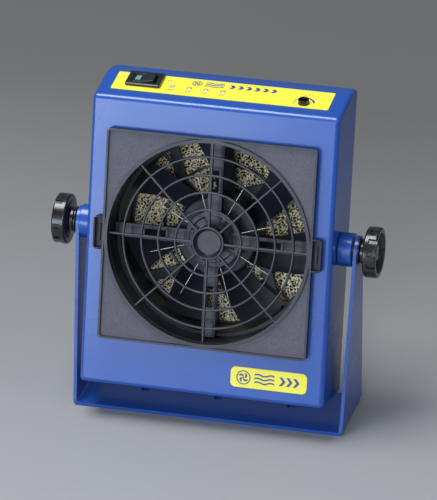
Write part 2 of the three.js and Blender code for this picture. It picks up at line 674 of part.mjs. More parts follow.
function filterCover() {
  const [front, rear, wall, grid] = [TRAY_FRONT, TRAY_FRONT + FILTER_DEPTH, 1.6, 1.5];
  const inner = FILTER_SIZE - 2 * wall;
  const tray = cut(
    slab(softRectangle(FILTER_SIZE, FILTER_SIZE, 3), front, rear),
    slab(softRectangle(inner, inner, 2), front - 1, rear - grid),
    rod('y', INTAKE_RADIUS, front, rear + 1, [0, 0], 36),
  );
  const bars = [];
  for (let z = -45; z <= 45; z += 15) {
    const reach = Math.sqrt((INTAKE_RADIUS + 1) ** 2 - z ** 2);
    bars.push(box([-reach, reach], [rear - grid, rear], [z - 0.8, z + 0.8]));
  }
  const post = box([-0.8, 0.8], [rear - grid, rear], [-INTAKE_RADIUS - 0.5, INTAKE_RADIUS + 0.5]);
  return join(tray, ...bars, post);
}

add(fan, 'filter_base', filterBase(), blackPlastic);
add(fan, 'filter_foam', rod('y', FOAM_RADIUS, TRAY_FRONT + 0.2, TRAY_FRONT + 6.4, [0, 0], 32), foam);
add(fan, 'filter_cover', filterCover(), blackPlastic);

// ---- Supply and electronics under the fan --------------------------------------------------

function powerInlet() {
  const flange = slab(softRectangle(33, 22.6, 2), CASE_REAR + GAP, CASE_REAR + GAP + 1.6);
  const body = slab(softPolygon([[-13.7, -9.9, 0], [13.7, -9.9, 0], [13.7, 5.5, 0], [9.5, 9.9, 0],
    [-9.5, 9.9, 0], [-13.7, 5.5, 0]]), -9, CASE_REAR + 1);
  const socket = slab(softPolygon([[-12, -8.2, 0], [12, -8.2, 0], [12, 4.6, 0], [8.4, 8.2, 0],
    [-8.4, 8.2, 0], [-12, 4.6, 0]]), INLET_FLOOR, CASE_REAR + 3);
  return cut(join(flange, body), socket);
}

function controlBoard() {
  const plate = box([-66, 66], [-26, -24.4], [-88, -66]);
  const parts = [[-58, 12, 6], [-36, 16, 4], [-8, 18, 7], [22, 14, 4], [48, 12, 6]].map(([x, width, tall]) =>
    box([x - width / 2, x + width / 2], [-25, -24.4 + tall], [-84, -70]));
  return join(plate, ...parts);
}

function highVoltageModule() {
  const block = box([2, 66], [-14, 8], [-87, -64.5]);
  const outlet = rod('y', 4, -17, -13, [14, -76], 16);
  return join(block, outlet);
}

add(head, 'power_inlet', powerInlet(), glossBlack, [INLET_X, 0, INLET_Z]);
INLET_PINS.forEach(([x, z], i) => {
  const pin = box([-1, 1], [INLET_FLOOR + GAP, 7], [-2, 2]);
  add(head, `inlet_pin_${i + 1}`, pin, steel, [INLET_X + x, 0, INLET_Z + z]);
});
add(head, 'control_board', controlBoard(), board);
add(head, 'high_voltage_module', highVoltageModule(), darkBlock);

// ---- The origin under the middle of the whole object ---------------------------------------

blower.updateMatrixWorld(true);
const extent = new THREE.Box3().setFromObject(blower, true);
blower.position.set(-(extent.min.x + extent.max.x) / 2, -(extent.min.y + extent.max.y) / 2, -extent.min.z);

export default blower;
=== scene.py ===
import json
from math import acos, asin, atan2, copysign, cos, degrees, pi, radians, sin, sqrt, tan

import bmesh
import bpy
from mathutils import Matrix, Vector, noise


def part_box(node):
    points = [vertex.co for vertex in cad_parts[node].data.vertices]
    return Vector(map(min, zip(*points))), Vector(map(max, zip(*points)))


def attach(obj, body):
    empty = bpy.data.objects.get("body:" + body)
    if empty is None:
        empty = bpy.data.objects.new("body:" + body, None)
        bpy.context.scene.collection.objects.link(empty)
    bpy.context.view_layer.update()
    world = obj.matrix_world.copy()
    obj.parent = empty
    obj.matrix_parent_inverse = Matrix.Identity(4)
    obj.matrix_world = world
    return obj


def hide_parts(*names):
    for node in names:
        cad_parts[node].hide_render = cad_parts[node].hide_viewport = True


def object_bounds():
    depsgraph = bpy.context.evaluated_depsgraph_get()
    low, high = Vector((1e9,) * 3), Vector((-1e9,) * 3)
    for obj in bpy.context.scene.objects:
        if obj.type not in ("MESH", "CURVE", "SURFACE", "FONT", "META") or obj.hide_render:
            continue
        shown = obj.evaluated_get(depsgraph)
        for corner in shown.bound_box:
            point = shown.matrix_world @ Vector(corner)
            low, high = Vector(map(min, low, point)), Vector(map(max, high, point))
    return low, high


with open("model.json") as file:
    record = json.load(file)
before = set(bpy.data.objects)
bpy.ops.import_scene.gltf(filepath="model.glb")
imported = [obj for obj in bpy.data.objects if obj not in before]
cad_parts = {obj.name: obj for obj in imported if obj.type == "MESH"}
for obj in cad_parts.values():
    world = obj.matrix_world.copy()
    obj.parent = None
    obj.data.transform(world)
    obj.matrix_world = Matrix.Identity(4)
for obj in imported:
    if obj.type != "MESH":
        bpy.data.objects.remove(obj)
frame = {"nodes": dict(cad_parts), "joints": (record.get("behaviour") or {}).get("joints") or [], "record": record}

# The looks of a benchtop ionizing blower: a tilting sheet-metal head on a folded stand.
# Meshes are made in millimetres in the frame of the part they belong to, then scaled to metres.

CAD_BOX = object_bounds()
MM = 0.001
BODIES = frame["record"]["behaviour"]["bodies"]
JOINTS = {joint["name"]: joint for joint in frame["joints"]}


def in_scene(name, data):
    """A new object that is linked to the scene."""
    made = bpy.data.objects.new(name, data)
    bpy.context.scene.collection.objects.link(made)
    return made


# ---- Camera ----

CAMERA_YAW = radians(15.045)
CAMERA_ELEVATION = radians(25.954)
CAMERA_ROLL = radians(-0.356)
CAMERA_DISTANCE = 2.719
CAMERA_LENS = 332.98
CAMERA_TARGET = Vector((0.0003, -0.0012, 0.0974))


def add_camera():
    """The photograph's viewpoint: far off with a long lens, right of the middle and above."""
    level = Vector((cos(CAMERA_YAW), sin(CAMERA_YAW), 0))
    back = Vector((
        sin(CAMERA_YAW) * cos(CAMERA_ELEVATION),
        -cos(CAMERA_YAW) * cos(CAMERA_ELEVATION),
        sin(CAMERA_ELEVATION),
    ))
    over = back.cross(level)
    right = level * cos(CAMERA_ROLL) + over * sin(CAMERA_ROLL)
    up = over * cos(CAMERA_ROLL) - level * sin(CAMERA_ROLL)
    data = bpy.data.cameras.new("camera")
    data.lens = CAMERA_LENS
    data.clip_end = 20
    camera = in_scene("camera", data)
    turn = Matrix((right, up, back)).transposed().to_4x4()
    camera.matrix_world = Matrix.Translation(CAMERA_TARGET + back * CAMERA_DISTANCE) @ turn
    bpy.context.scene.camera = camera


add_camera()

# ---- The frames that the pieces are built in ----


def axes(origin, x, y, z):
    """A frame in metres from its origin and its three axes."""
    turn = Matrix((Vector(x), Vector(y), Vector(z))).transposed().to_4x4()
    return Matrix.Translation(Vector(origin)) @ turn


RIGHT = Vector((1, 0, 0))
BACK = Vector(JOINTS["impeller_spin"]["axis"])
UP = RIGHT.cross(BACK)
SLOPE = Vector(JOINTS["switch_rock"]["axis"])
NORMAL = Vector(JOINTS["speed_turn"]["axis"])
SWITCH_LEAN = radians(7)

FAN_HEIGHT = 1.6         # the fan's axis in the head's frame
CLAMP = axes(JOINTS["head_tilt"]["pos_m"], RIGHT, BACK, UP)
FAN = axes(JOINTS["impeller_spin"]["pos_m"], RIGHT, BACK, UP)
HEAD = FAN @ Matrix.Translation((0, 0, -FAN_HEIGHT * MM))
SPEED = axes(JOINTS["speed_turn"]["pos_m"], RIGHT, SLOPE, NORMAL)
HINGE = axes(JOINTS["switch_rock"]["pos_m"], RIGHT, SLOPE, NORMAL)
ROCKER = HINGE @ Matrix.Rotation(-SWITCH_LEAN, 4, "Y")
SWITCH = HINGE @ Matrix.Translation((0, 0, MM))
STAND = Matrix.Translation((
    sum(corner[0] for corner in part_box("stand_bracket")) / 2,
    sum(corner[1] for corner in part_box("stand_bracket")) / 2,
    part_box("stand_bracket")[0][2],
))


def extent(node, place):
    """The lowest and highest corner of a CAD node in a frame, in millimetres."""
    inward = place.inverted()
    points = [inward @ vertex.co / MM for vertex in frame["nodes"][node].data.vertices]
    low = Vector([min(point[i] for point in points) for i in range(3)])
    high = Vector([max(point[i] for point in points) for i in range(3)])
    return low, high


def body_of(node):
    """The body that a CAD node rides on."""
    return next(body for body, members in BODIES.items() if node in members)


# ---- Outlines ----


def arc(centre, radius, start, end, steps=12):
    """Points on an arc between two angles in degrees."""
    angles = [radians(start + (end - start) * i / steps) for i in range(steps + 1)]
    return [(centre[0] + radius * cos(a), centre[1] + radius * sin(a)) for a in angles]


def circle(radius, centre=(0, 0), count=64):
    return arc(centre, radius, 0, 360 - 360 / count, count - 1)


def eased(corners, steps=5):
    """A closed outline of (x, y, radius) corners, each rounded by its radius."""
    outline = []
    for i, (x, y, radius) in enumerate(corners):
        corner = Vector((x, y))
        if radius == 0:
            outline.append(tuple(corner))
            continue
        before = (Vector(corners[i - 1][:2]) - corner).normalized()
        after = (Vector(corners[(i + 1) % len(corners)][:2]) - corner).normalized()
        half = before.angle(after) / 2
        middle = corner + (before + after).normalized() * radius / sin(half)
        start = corner + before * radius / tan(half) - middle
        end = corner + after * radius / tan(half) - middle
        for k in range(steps + 1):
            outline.append(tuple(middle + start.lerp(end, k / steps).normalized() * radius))
    return outline


def dome(radius, base, height, steps):
    """Points that rise from an edge towards an axis, short of the top."""
    turns = [radians(90 * i / steps) for i in range(steps)]
    return [(radius * cos(a), base + height * sin(a)) for a in turns]


def soft_rectangle(width, height, radius, centre=(0, 0)):
    (x, y), w, h = centre, width / 2, height / 2
    return eased([
        (x - w, y - h, radius), (x + w, y - h, radius), (x + w, y + h, radius), (x - w, y + h, radius),
    ])


def signed_area(outline):
    pairs = zip(outline, outline[1:] + outline[:1])
    return sum(x0 * y1 - x1 * y0 for (x0, y0), (x1, y1) in pairs) / 2


# ---- Meshes ----

STAND_UP = Matrix.Rotation(pi / 2, 4, "X")
LIE_ACROSS = Matrix(((0, 0, 1, 0), (1, 0, 0, 0), (0, 1, 0, 0), (0, 0, 0, 1)))


def bridge(bm, first, second):
    """Faces between two closed rows of vertices."""
    for k in range(len(first)):
        bm.faces.new((first[k - 1], first[k], second[k], second[k - 1]))


def mesh_of(bm):
    bmesh.ops.recalc_face_normals(bm, faces=bm.faces)
    mesh = bpy.data.meshes.new("part")
    bm.to_mesh(mesh)
    bm.free()
    return mesh


def moved(mesh, matrix):
    mesh.transform(matrix)
    return mesh


def prism(outline, low, high):
    """A closed (x, y) outline between two heights."""
    bm = bmesh.new()
    base = [bm.verts.new((x, y, low)) for x, y in outline]
    top = [bm.verts.new((x, y, high)) for x, y in outline]
    bm.faces.new(base)
    bm.faces.new(top)
    bridge(bm, base, top)
    return mesh_of(bm)


def across(outline, low, high):
    """A closed (y, z) outline across a width."""
    return moved(prism(outline, low, high), LIE_ACROSS)


def deep(outline, front, rear):
    """A closed (x, z) outline between two depths."""
    return moved(prism(outline, -rear, -front), STAND_UP)


def plate(outlines, low, high, edge=0.25):
    """A flat (x, y) sheet with holes, its edges rounded; the first outline is the outer one."""
    curve = bpy.data.curves.new("plate", "CURVE")
    curve.dimensions = "2D"
    curve.fill_mode = "BOTH"
    curve.extrude = (high - low) / 2 - edge
    curve.bevel_depth = edge
    curve.bevel_resolution = 1
    curve.offset = -edge
    for index, outline in enumerate(outlines):
        wanted = 1 if index == 0 else -1
        points = outline if signed_area(outline) * wanted > 0 else outline[::-1]
        spline = curve.splines.new("POLY")
        spline.points.add(len(points) - 1)
        for point, (x, y) in zip(spline.points, points):
            point.co = (x, y, 0, 1)
        spline.use_cyclic_u = True
    holder = bpy.data.objects.new("plate", curve)
    bm = bmesh.new()
    bm.from_mesh(holder.to_mesh())
    bpy.data.objects.remove(holder)
    bmesh.ops.remove_doubles(bm, verts=bm.verts, dist=0.001)
    bmesh.ops.translate(bm, verts=bm.verts, vec=(0, 0, (low + high) / 2))
    return mesh_of(bm)


def slab(outlines, front, rear, edge=0.25):
    """(x, z) outlines between two depths, with rounded edges."""
    return moved(plate(outlines, -rear, -front, edge), STAND_UP)


def turned(profile, count=96):
    """A (radius, y) outline turned about the y axis; one that starts on the axis ends on it."""
    bm = bmesh.new()
    points = [bm.verts.new((radius, y, 0)) for radius, y in profile]
    edges = [bm.edges.new(pair) for pair in zip(points, points[1:])]
    if profile[0][0] > 0:
        edges.append(bm.edges.new((points[-1], points[0])))
    bmesh.ops.spin(bm, geom=points + edges, axis=(0, 1, 0), angle=2 * pi, steps=count)
    bmesh.ops.remove_doubles(bm, verts=bm.verts, dist=0.0005)
    return mesh_of(bm)


def hoop(inner, outer, front, rear, edge=0.3, count=96):
    """A ring about the y axis with rounded edges."""
    corners = [(inner, front, edge), (outer, front, edge), (outer, rear, edge), (inner, rear, edge)]
    return turned(eased(corners, 3), count)


def rod(axis, radius, low, high, centre=(0, 0), count=32):
    """A plain cylinder along 'x', 'y' or 'z', for cutting and for joining."""
    if axis == "x":
        return across(circle(radius, centre, count), low, high)
    if axis == "y":
        return deep(circle(radius, centre, count), low, high)
    return prism(circle(radius, centre, count), low, high)


def bar(x, y, z, edge=0.3, steps=2):
    """A block with rounded edges."""
    bm = bmesh.new()
    bmesh.ops.create_cube(bm, size=1)
    size = Vector((x[1] - x[0], y[1] - y[0], z[1] - z[0]))
    middle = Vector((x[0] + x[1], y[0] + y[1], z[0] + z[1])) / 2
    bmesh.ops.scale(bm, verts=bm.verts, vec=size)
    bmesh.ops.translate(bm, verts=bm.verts, vec=middle)
    if edge > 0:
        bmesh.ops.bevel(bm, geom=bm.edges, offset=edge, segments=steps, profile=0.5, affect="EDGES")
    return mesh_of(bm)


def joined(*meshes):
    bm = bmesh.new()
    for mesh in meshes:
        bm.from_mesh(mesh)
        bpy.data.meshes.remove(mesh)
    result = bpy.data.meshes.new("part")
    bm.to_mesh(result)
    bm.free()
    return result


def modified(mesh, kind, **settings):
    """The mesh after one modifier."""
    holder = in_scene("holder", mesh)
    modifier = holder.modifiers.new("change", kind)
    for name, value in settings.items():
        setattr(modifier, name, value)
    graph = bpy.context.evaluated_depsgraph_get()
    result = bpy.data.meshes.new_from_object(holder.evaluated_get(graph))
    bpy.data.objects.remove(holder)
    return result


def combined(mesh, operation, *tools):
    other = in_scene("tool", joined(*tools))
    result = modified(mesh, "BOOLEAN", object=other, operation=operation, solver="EXACT")
    bpy.data.objects.remove(other)
    return result


def cut(mesh, *tools):
    return combined(mesh, "DIFFERENCE", *tools)


def edged(mesh, width, angle=35, segments=2):
    """The mesh with its sharp edges rounded."""
    return modified(
        mesh, "BEVEL", width=width, segments=segments, limit_method="ANGLE",
        angle_limit=radians(angle), use_clamp_overlap=True,
    )


def around(make, count, start=0):
    """Copies of a piece turned about the y axis, from a function that makes one."""
    turns = [radians(start + 360 * i / count) for i in range(count)]
    return [moved(make(), Matrix.Rotation(-turn, 4, "Y")) for turn in turns]


def add_piece(mesh, place, material, slot, *nodes, smooth=40, more=()):
    """One visible piece that stands for CAD nodes and rides on their body."""
    mesh.transform(place @ Matrix.Scale(MM, 4))
    mesh.shade_smooth()
    mesh.set_sharp_from_angle(angle=radians(smooth))
    kinds = [polygon.material_index for polygon in mesh.polygons]
    mesh.materials.clear()
    for each in (material, *more):
        mesh.materials.append(each)
    mesh.polygons.foreach_set("material_index", kinds)
    mesh = modified(mesh, "WEIGHTED_NORMAL", keep_sharp=True, weight=50)
    piece = in_scene("look_" + nodes[0], mesh)
    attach(piece, body_of(nodes[0]))
    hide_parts(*nodes)
    return piece


# ---- Materials ----


class Finish:
    """A procedural material: patchy colour and roughness, and a fine relief."""

    def __init__(self, name, **sockets):
        self.material = bpy.data.materials.new(name)
        self.material.use_nodes = True
        self.tree = self.material.node_tree
        self.surface = self.tree.nodes["Principled BSDF"]
        self.place = self.node("ShaderNodeTexCoord").outputs["Object"]
        for socket, value in sockets.items():
            self.surface.inputs[socket.replace("_", " ").title().replace("Ior", "IOR")].default_value = value

    def node(self, kind, inputs=(), **settings):
        made = self.tree.nodes.new(kind)
        for name, value in settings.items():
            setattr(made, name, value)
        for socket, value in dict(inputs).items():
            if isinstance(value, bpy.types.NodeSocket):
                self.tree.links.new(value, made.inputs[socket])
            else:
                made.inputs[socket].default_value = value
        return made

    def noise(self, size, detail=3, stretch=(1, 1, 1), roughness=0.5):
        """Soft noise with features of about this size in millimetres."""
        place = self.node("ShaderNodeMapping", {"Vector": self.place, "Scale": stretch}).outputs["Vector"]
        inputs = {"Vector": place, "Scale": 1 / (size * MM), "Detail": detail, "Roughness": roughness}
        return self.node("ShaderNodeTexNoise", inputs).outputs["Fac"]

    def cells(self, size, feature="F1", randomness=1):
        inputs = {"Vector": self.place, "Scale": 1 / (size * MM), "Randomness": randomness}
        return self.node("ShaderNodeTexVoronoi", inputs, feature=feature).outputs["Distance"]

    def ramp(self, value, start, end, low=0, high=1):
        inputs = {"Value": value, "From Min": start, "From Max": end, "To Min": low, "To Max": high}
        return self.node("ShaderNodeMapRange", inputs, clamp=True).outputs["Result"]

    def maths(self, operation, a, b):
        return self.node("ShaderNodeMath", {0: a, 1: b}, operation=operation).outputs["Value"]

    def blend(self, share, first, second):
        """One colour blended into another."""
        mix = self.node("ShaderNodeMix", {"Factor": share}, data_type="RGBA")
        for socket, value in zip(mix.inputs[6:8], (first, second)):
            if isinstance(value, bpy.types.NodeSocket):
                self.tree.links.new(value, socket)
            else:
                socket.default_value = (*value, 1)
        return mix.outputs[2]

    def paint(self, share, first, second):
        self.tree.links.new(self.blend(share, first, second), self.surface.inputs["Base Color"])

    def rough(self, value, low, high):
        self.tree.links.new(self.ramp(value, 0.3, 0.7, low, high), self.surface.inputs["Roughness"])

    def relief(self, height, depth, strength=1.0):
        """A bump of this depth in millimetres."""
        inputs = {"Height": height, "Distance": depth * MM, "Strength": strength}
        bump = self.node("ShaderNodeBump", inputs)
        self.tree.links.new(bump.outputs["Normal"], self.surface.inputs["Normal"])


def patchy(name, dark, light, low, high, grain, depth, patch=30, **sockets):
    """A finish whose colour drifts over patches and whose roughness varies with the grain."""
    finish = Finish(name, **sockets)
    finish.paint(finish.ramp(finish.noise(patch), 0.3, 0.7), dark, light)
    fine = finish.noise(grain, detail=4)
    smudge = finish.noise(patch / 2, detail=5)
    finish.rough(smudge, low, high)
    finish.relief(fine, depth)
    return finish.material


def blue_enamel():
    """Baked enamel on sheet steel, with a faint orange peel."""
    return patchy(
        "blue_enamel", (0.009, 0.066, 0.33), (0.012, 0.077, 0.37), 0.26, 0.32, 9, 0.003, patch=60,
        specular_ior_level=0.5, coat_weight=0.25, coat_roughness=0.14,
    )


def satin_black():
    """Moulded black plastic with a faint satin texture."""
    return patchy(
        "satin_black", (0.011, 0.011, 0.018), (0.019, 0.019, 0.029), 0.30, 0.42, 0.35, 0.008, patch=25,
    )


def grained_black():
    """The same plastic with a spark-eroded grain."""
    finish = Finish("grained_black")
    grain = finish.noise(0.55, detail=4, roughness=0.65)
    finish.paint(finish.ramp(grain, 0.35, 0.65), (0.046, 0.045, 0.064), (0.112, 0.108, 0.146))
    finish.rough(finish.noise(9), 0.5, 0.62)
    finish.relief(grain, 0.16)
    return finish.material


def gloss_black():
    """Polished black plastic with a few soft smudges."""
    return patchy(
        "gloss_black", (0.010, 0.010, 0.012), (0.016, 0.016, 0.019), 0.16, 0.3, 1.8, 0.006, patch=9,
        coat_weight=0.2, coat_roughness=0.08,
    )


def blade_black():
    """The impeller's glossy black plastic, with faint flow lines along the blades."""
    finish = Finish("blade_black", specular_ior_level=0.28)
    flow = finish.noise(3, detail=4, stretch=(1, 6, 1))
    finish.paint(flow, (0.010, 0.011, 0.017), (0.019, 0.021, 0.032))
    finish.rough(flow, 0.34, 0.5)
    finish.relief(flow, 0.01)
    return finish.material


def yellow_film():
    """A printed yellow film with a soft sheen."""
    return patchy(
        "yellow_film", (0.80, 0.74, 0.050), (0.87, 0.80, 0.065), 0.32, 0.45, 0.5, 0.006, patch=18,
    )


def blue_ink():
    """Screen-printed blue ink with a ragged density."""
    return patchy(
        "blue_ink", (0.030, 0.045, 0.22), (0.055, 0.075, 0.30), 0.35, 0.5, 0.25, 0.004, patch=1.5,
    )


def pale_ink():
    """A thinner blue print for the small signs."""
    return patchy(
        "pale_ink", (0.26, 0.27, 0.30), (0.34, 0.34, 0.33), 0.4, 0.5, 0.25, 0.004, patch=1.2,
    )


def bright_steel():
    """Zinc-plated or ground steel with fine turning lines."""
    finish = Finish("bright_steel", metallic=1.0)
    lines = finish.noise(0.4, detail=5, stretch=(1, 12, 1))
    finish.paint(finish.noise(4), (0.50, 0.51, 0.53), (0.66, 0.66, 0.67))
    finish.rough(lines, 0.2, 0.38)
    finish.relief(lines, 0.006)
    return finish.material


def needle_steel():
    """Ground stainless emitter points."""
    finish = Finish("needle_steel", metallic=0.85)
    lines = finish.noise(0.3, detail=4, stretch=(4, 1, 1))
    finish.paint(lines, (0.42, 0.42, 0.42), (0.60, 0.60, 0.58))
    finish.rough(lines, 0.3, 0.45)
    finish.relief(lines, 0.003)
    return finish.material


def copper_wire():
    """Varnished windings: tight rows of wire."""
    finish = Finish("copper_wire", metallic=0.9)
    wave = {"Vector": finish.place, "Scale": 700, "Distortion": 0.6}
    rows = finish.node("ShaderNodeTexWave", wave).outputs["Fac"]
    finish.paint(rows, (0.28, 0.12, 0.05), (0.62, 0.33, 0.15))
    finish.rough(finish.noise(2), 0.25, 0.45)
    finish.relief(rows, 0.15)
    return finish.material


def filter_foam():
    """Open-cell foam: dark pores between pale strands; the pale is a painted backlight that stands in for light
    shining through the foam.
    """
    finish = Finish("filter_foam", specular_ior_level=0.2)
    pores = finish.cells(1.9, "DISTANCE_TO_EDGE")
    drift = finish.noise(1.1, detail=3, roughness=0.7)
    strands = finish.ramp(pores, 0.26, 0.12)
    # Painted backlight: pale specks along the cell edges, where light would shine through the black foam.
    painted_backlight = finish.maths("MULTIPLY", strands, finish.ramp(drift, 0.40, 0.52))
    finish.paint(painted_backlight, (0.014, 0.013, 0.011), (0.95, 0.88, 0.62))
    finish.rough(drift, 0.8, 0.98)
    finish.relief(strands, 0.4)
    return finish.material


def green_lens():
    """A translucent green lens with a frosted inner face."""
    return patchy(
        "green_lens", (0.10, 0.30, 0.20), (0.16, 0.42, 0.28), 0.12, 0.25, 0.7, 0.02, patch=2,
        subsurface_weight=0.15, coat_weight=0.4,
    )


def clear_lens():
    """A diffused indicator lens."""
    return patchy(
        "clear_lens", (0.50, 0.50, 0.44), (0.62, 0.61, 0.52), 0.18, 0.3, 0.5, 0.01, patch=1.2,
        subsurface_weight=0.2,
    )


def circuit_board():
    """Green solder resist over a pattern of traces."""
    finish = Finish("circuit_board")
    traces = finish.ramp(finish.cells(5, "DISTANCE_TO_EDGE", randomness=0.6), 0.05, 0.09)
    finish.paint(traces, (0.05, 0.22, 0.10), (0.018, 0.10, 0.045))
    finish.rough(finish.noise(4), 0.25, 0.45)
    finish.relief(traces, 0.05)
    return finish.material


def potting():
    """Cast potting compound with shallow sink marks."""
    return patchy(
        "potting", (0.014, 0.014, 0.017), (0.028, 0.028, 0.033), 0.3, 0.55, 6, 0.12, patch=14,
    )


def studio_floor():
    """The floor with painted light falloff: pale in front and darker towards the back."""
    finish = Finish("studio_floor", specular_ior_level=0.25)
    depth = finish.node("ShaderNodeSeparateXYZ", {"Vector": finish.place}).outputs["Y"]
    wander = finish.maths("MULTIPLY", finish.noise(240), 0.06)
    # Painted light falloff: the colour darkens from front to back, standing in for the lamps' fall-off.
    painted_falloff = finish.ramp(finish.maths("ADD", depth, wander), -0.32, 0.46)
    finish.paint(painted_falloff, (0.42, 0.43, 0.45), (0.155, 0.155, 0.15))
    finish.rough(finish.noise(40), 0.5, 0.6)
    finish.relief(finish.noise(1.5), 0.01)
    return finish.material


ENAMEL = blue_enamel()
SATIN = satin_black()
GRAINED = grained_black()
GLOSS = gloss_black()
BLADE = blade_black()
FILM = yellow_film()
INK = blue_ink()
PALE_INK = pale_ink()
STEEL = bright_steel()
NEEDLE = needle_steel()
COPPER = copper_wire()
FOAM = filter_foam()
GREEN = green_lens()
CLEAR = clear_lens()
BOARD = circuit_board()
POTTING = potting()

# ---- Stand ----

STAND_WIDTH = 164.6
STAND_SHEET = 2
STAND_BEND = 3
ARM_LEAN = 1.45          # degrees outwards
ARM_TOP_RADIUS = 9
BASE_HOLES = (-45, 0, 45)
STUD_HOLE = 3.3


def folded_sheet(rise):
    """The front view of the stand's sheet: a base, two folds and two arms that lean outwards."""
    fold = STAND_WIDTH / 2 - STAND_BEND
    lean = radians(ARM_LEAN)

    def arm_side(radius):
        bend = arc((fold, STAND_BEND), radius, 270, 360 - ARM_LEAN)
        foot = bend[-1]
        return [*bend, (foot[0] + rise * sin(lean), foot[1] + rise * cos(lean))]

    outer = arm_side(STAND_BEND)
    inner = arm_side(STAND_BEND - STAND_SHEET)
    half = outer + inner[::-1]
    return half + [(-x, z) for x, z in half[::-1]]


def arm_outline(reach, pivot):
    """An arm from the side: straight edges that run into a round top."""
    turns = []
    for side in (-1, 1):
        way = Vector((pivot.y - side * reach, pivot.z - STAND_SHEET))
        bend = pi / 2 - asin(ARM_TOP_RADIUS / way.length)
        turns.append(degrees(atan2(way.y, way.x) + side * bend) + 180)
    front, rear = turns
    top = arc((pivot.y, pivot.z), ARM_TOP_RADIUS, rear % 360 - 360 * (rear % 360 > 180), front % 360, 40)
    return [(-reach, -1), (reach, -1), (reach, STAND_SHEET), *top, (-reach, STAND_SHEET)]


def stand_bracket():
    """One folded sheet with three holes in its base and a stud hole in each arm."""
    low, high = extent("stand_bracket", STAND)
    pivot = STAND.inverted() @ Vector(JOINTS["head_tilt"]["pos_m"]) / MM
    sheet = combined(
        deep(folded_sheet(high.z + 10), -high.y, high.y), "INTERSECT",
        across(arm_outline(high.y, pivot), low.x - 1, high.x + 1),
    )
    holes = [rod("z", 2.5, -1, STAND_SHEET + 1, (x, 1)) for x in BASE_HOLES]
    studs = [rod("x", STUD_HOLE, side - 8, side + 8, (pivot.y, pivot.z)) for side in (low.x, high.x)]
    add_piece(edged(cut(sheet, *holes, *studs), 0.4), STAND, ENAMEL, "blue_paint", "stand_bracket")


# ---- Case ----

CASE_SHEET = 1.2
CASE_BEND = 2.6
PANEL_FOLD = 82.7
PANEL_REAR = 0
OUTLET_RADIUS = 62.6
INTAKE_RADIUS = 57
COVER_BORE = 59
CLAMP_AT = tuple((HEAD.inverted() @ CLAMP.translation / MM)[1:])
SWITCH_AT = (-47.8, 20.4)
SPEED_AT = (49.2, 13.6)
INDICATORS = [(-30.5, 17), (-20.3, 17), (-10.2, 17), (0, 17)]
FAN_HOLE = 52.5          # from the fan's axis, across and up
FAN_SCREWS = [(x * FAN_HOLE, FAN_HEIGHT + z * FAN_HOLE) for x, z in ((1, 1), (-1, 1), (-1, -1), (1, -1))]
COVER_SCREWS = [(x, z) for x in (-67.5, 67.5) for z in (-84.5, 86.5)]
INLET_AT = (-40, -75.5)
PANEL = SPEED @ Matrix.Translation((-SPEED_AT[0] * MM, -SPEED_AT[1] * MM, 0))


def case_shell(low, high):
    """The bent sheet as one rounded skin, open at the rear."""
    side = [
        (low.y, low.z), (high.y, low.z), (high.y, high.z), (PANEL_REAR, high.z), (low.y, PANEL_FOLD),
    ]
    bm = bmesh.new()
    bm.from_mesh(across(side, low.x, high.x))
    rear = [face for face in bm.faces if face.normal.y > 0.9]
    bmesh.ops.delete(bm, geom=rear, context="FACES_ONLY")
    folds = [edge for edge in bm.edges if len(edge.link_faces) == 2]
    bmesh.ops.bevel(bm, geom=folds, offset=CASE_BEND, segments=6, profile=0.5, affect="EDGES")
    skin = bpy.data.meshes.new("skin")
    bm.to_mesh(skin)
    bm.free()
    return modified(
        skin, "SOLIDIFY", thickness=CASE_SHEET, offset=-1, use_even_offset=True, use_quality_normals=True,
    )


def front_case():
    low, high = extent("front_case", HEAD)
    to_head = HEAD.inverted() @ PANEL
    to_head.translation /= MM
    sx, sy = SWITCH_AT
    panel_holes = [
        moved(bar((sx - 9.6, sx + 9.6), (sy - 6.6, sy + 6.6), (-3, 2), edge=0), to_head),
        moved(rod("z", 3.6, -3, 2, SPEED_AT), to_head),
        *[moved(rod("z", 1.8, -3, 2, at), to_head) for at in INDICATORS],
    ]
    outlet = rod("y", OUTLET_RADIUS, low.y - 1, low.y + 3, (0, FAN_HEIGHT), 128)
    studs = [rod("x", STUD_HOLE, x - 4, x + 4, CLAMP_AT) for x in (low.x, high.x)]
    shell = edged(cut(case_shell(low, high), outlet, *studs, *panel_holes), 0.22, angle=50)
    ears = []
    for x, z in COVER_SCREWS:
        wall = copysign(high.x - CASE_SHEET / 2, x)
        inner = x - copysign(4, x)
        ears.append(bar((min(inner, wall), max(inner, wall)), (10.3, 11.5), (z - 4, z + 4), edge=0.2))
    add_piece(joined(shell, *ears), HEAD, ENAMEL, "blue_paint", "front_case")


def fan_holes():
    """The outlines of the fan's screw holes, in the fan's frame."""
    return [circle(2.3, (x, z - FAN_HEIGHT), 24) for x, z in FAN_SCREWS]


def rear_cover():
    low, high = extent("rear_cover", HEAD)
    middle = (low.z + high.z) / 2
    outlines = [
        soft_rectangle(high.x - low.x, high.z - low.z, 1, (0, middle)),
        circle(COVER_BORE, (0, FAN_HEIGHT), 128),
        soft_rectangle(28.2, 20.6, 0.6, INLET_AT),
        *[circle(1.7, at, 24) for at in COVER_SCREWS],
        *[circle(2.3, at, 24) for at in FAN_SCREWS],
    ]
    add_piece(slab(outlines, low.y, high.y, 0.2), HEAD, ENAMEL, "blue_paint", "rear_cover")


# ---- Screws ----

COVER_SEAT = 13.3
FAN_SEAT = 15.6


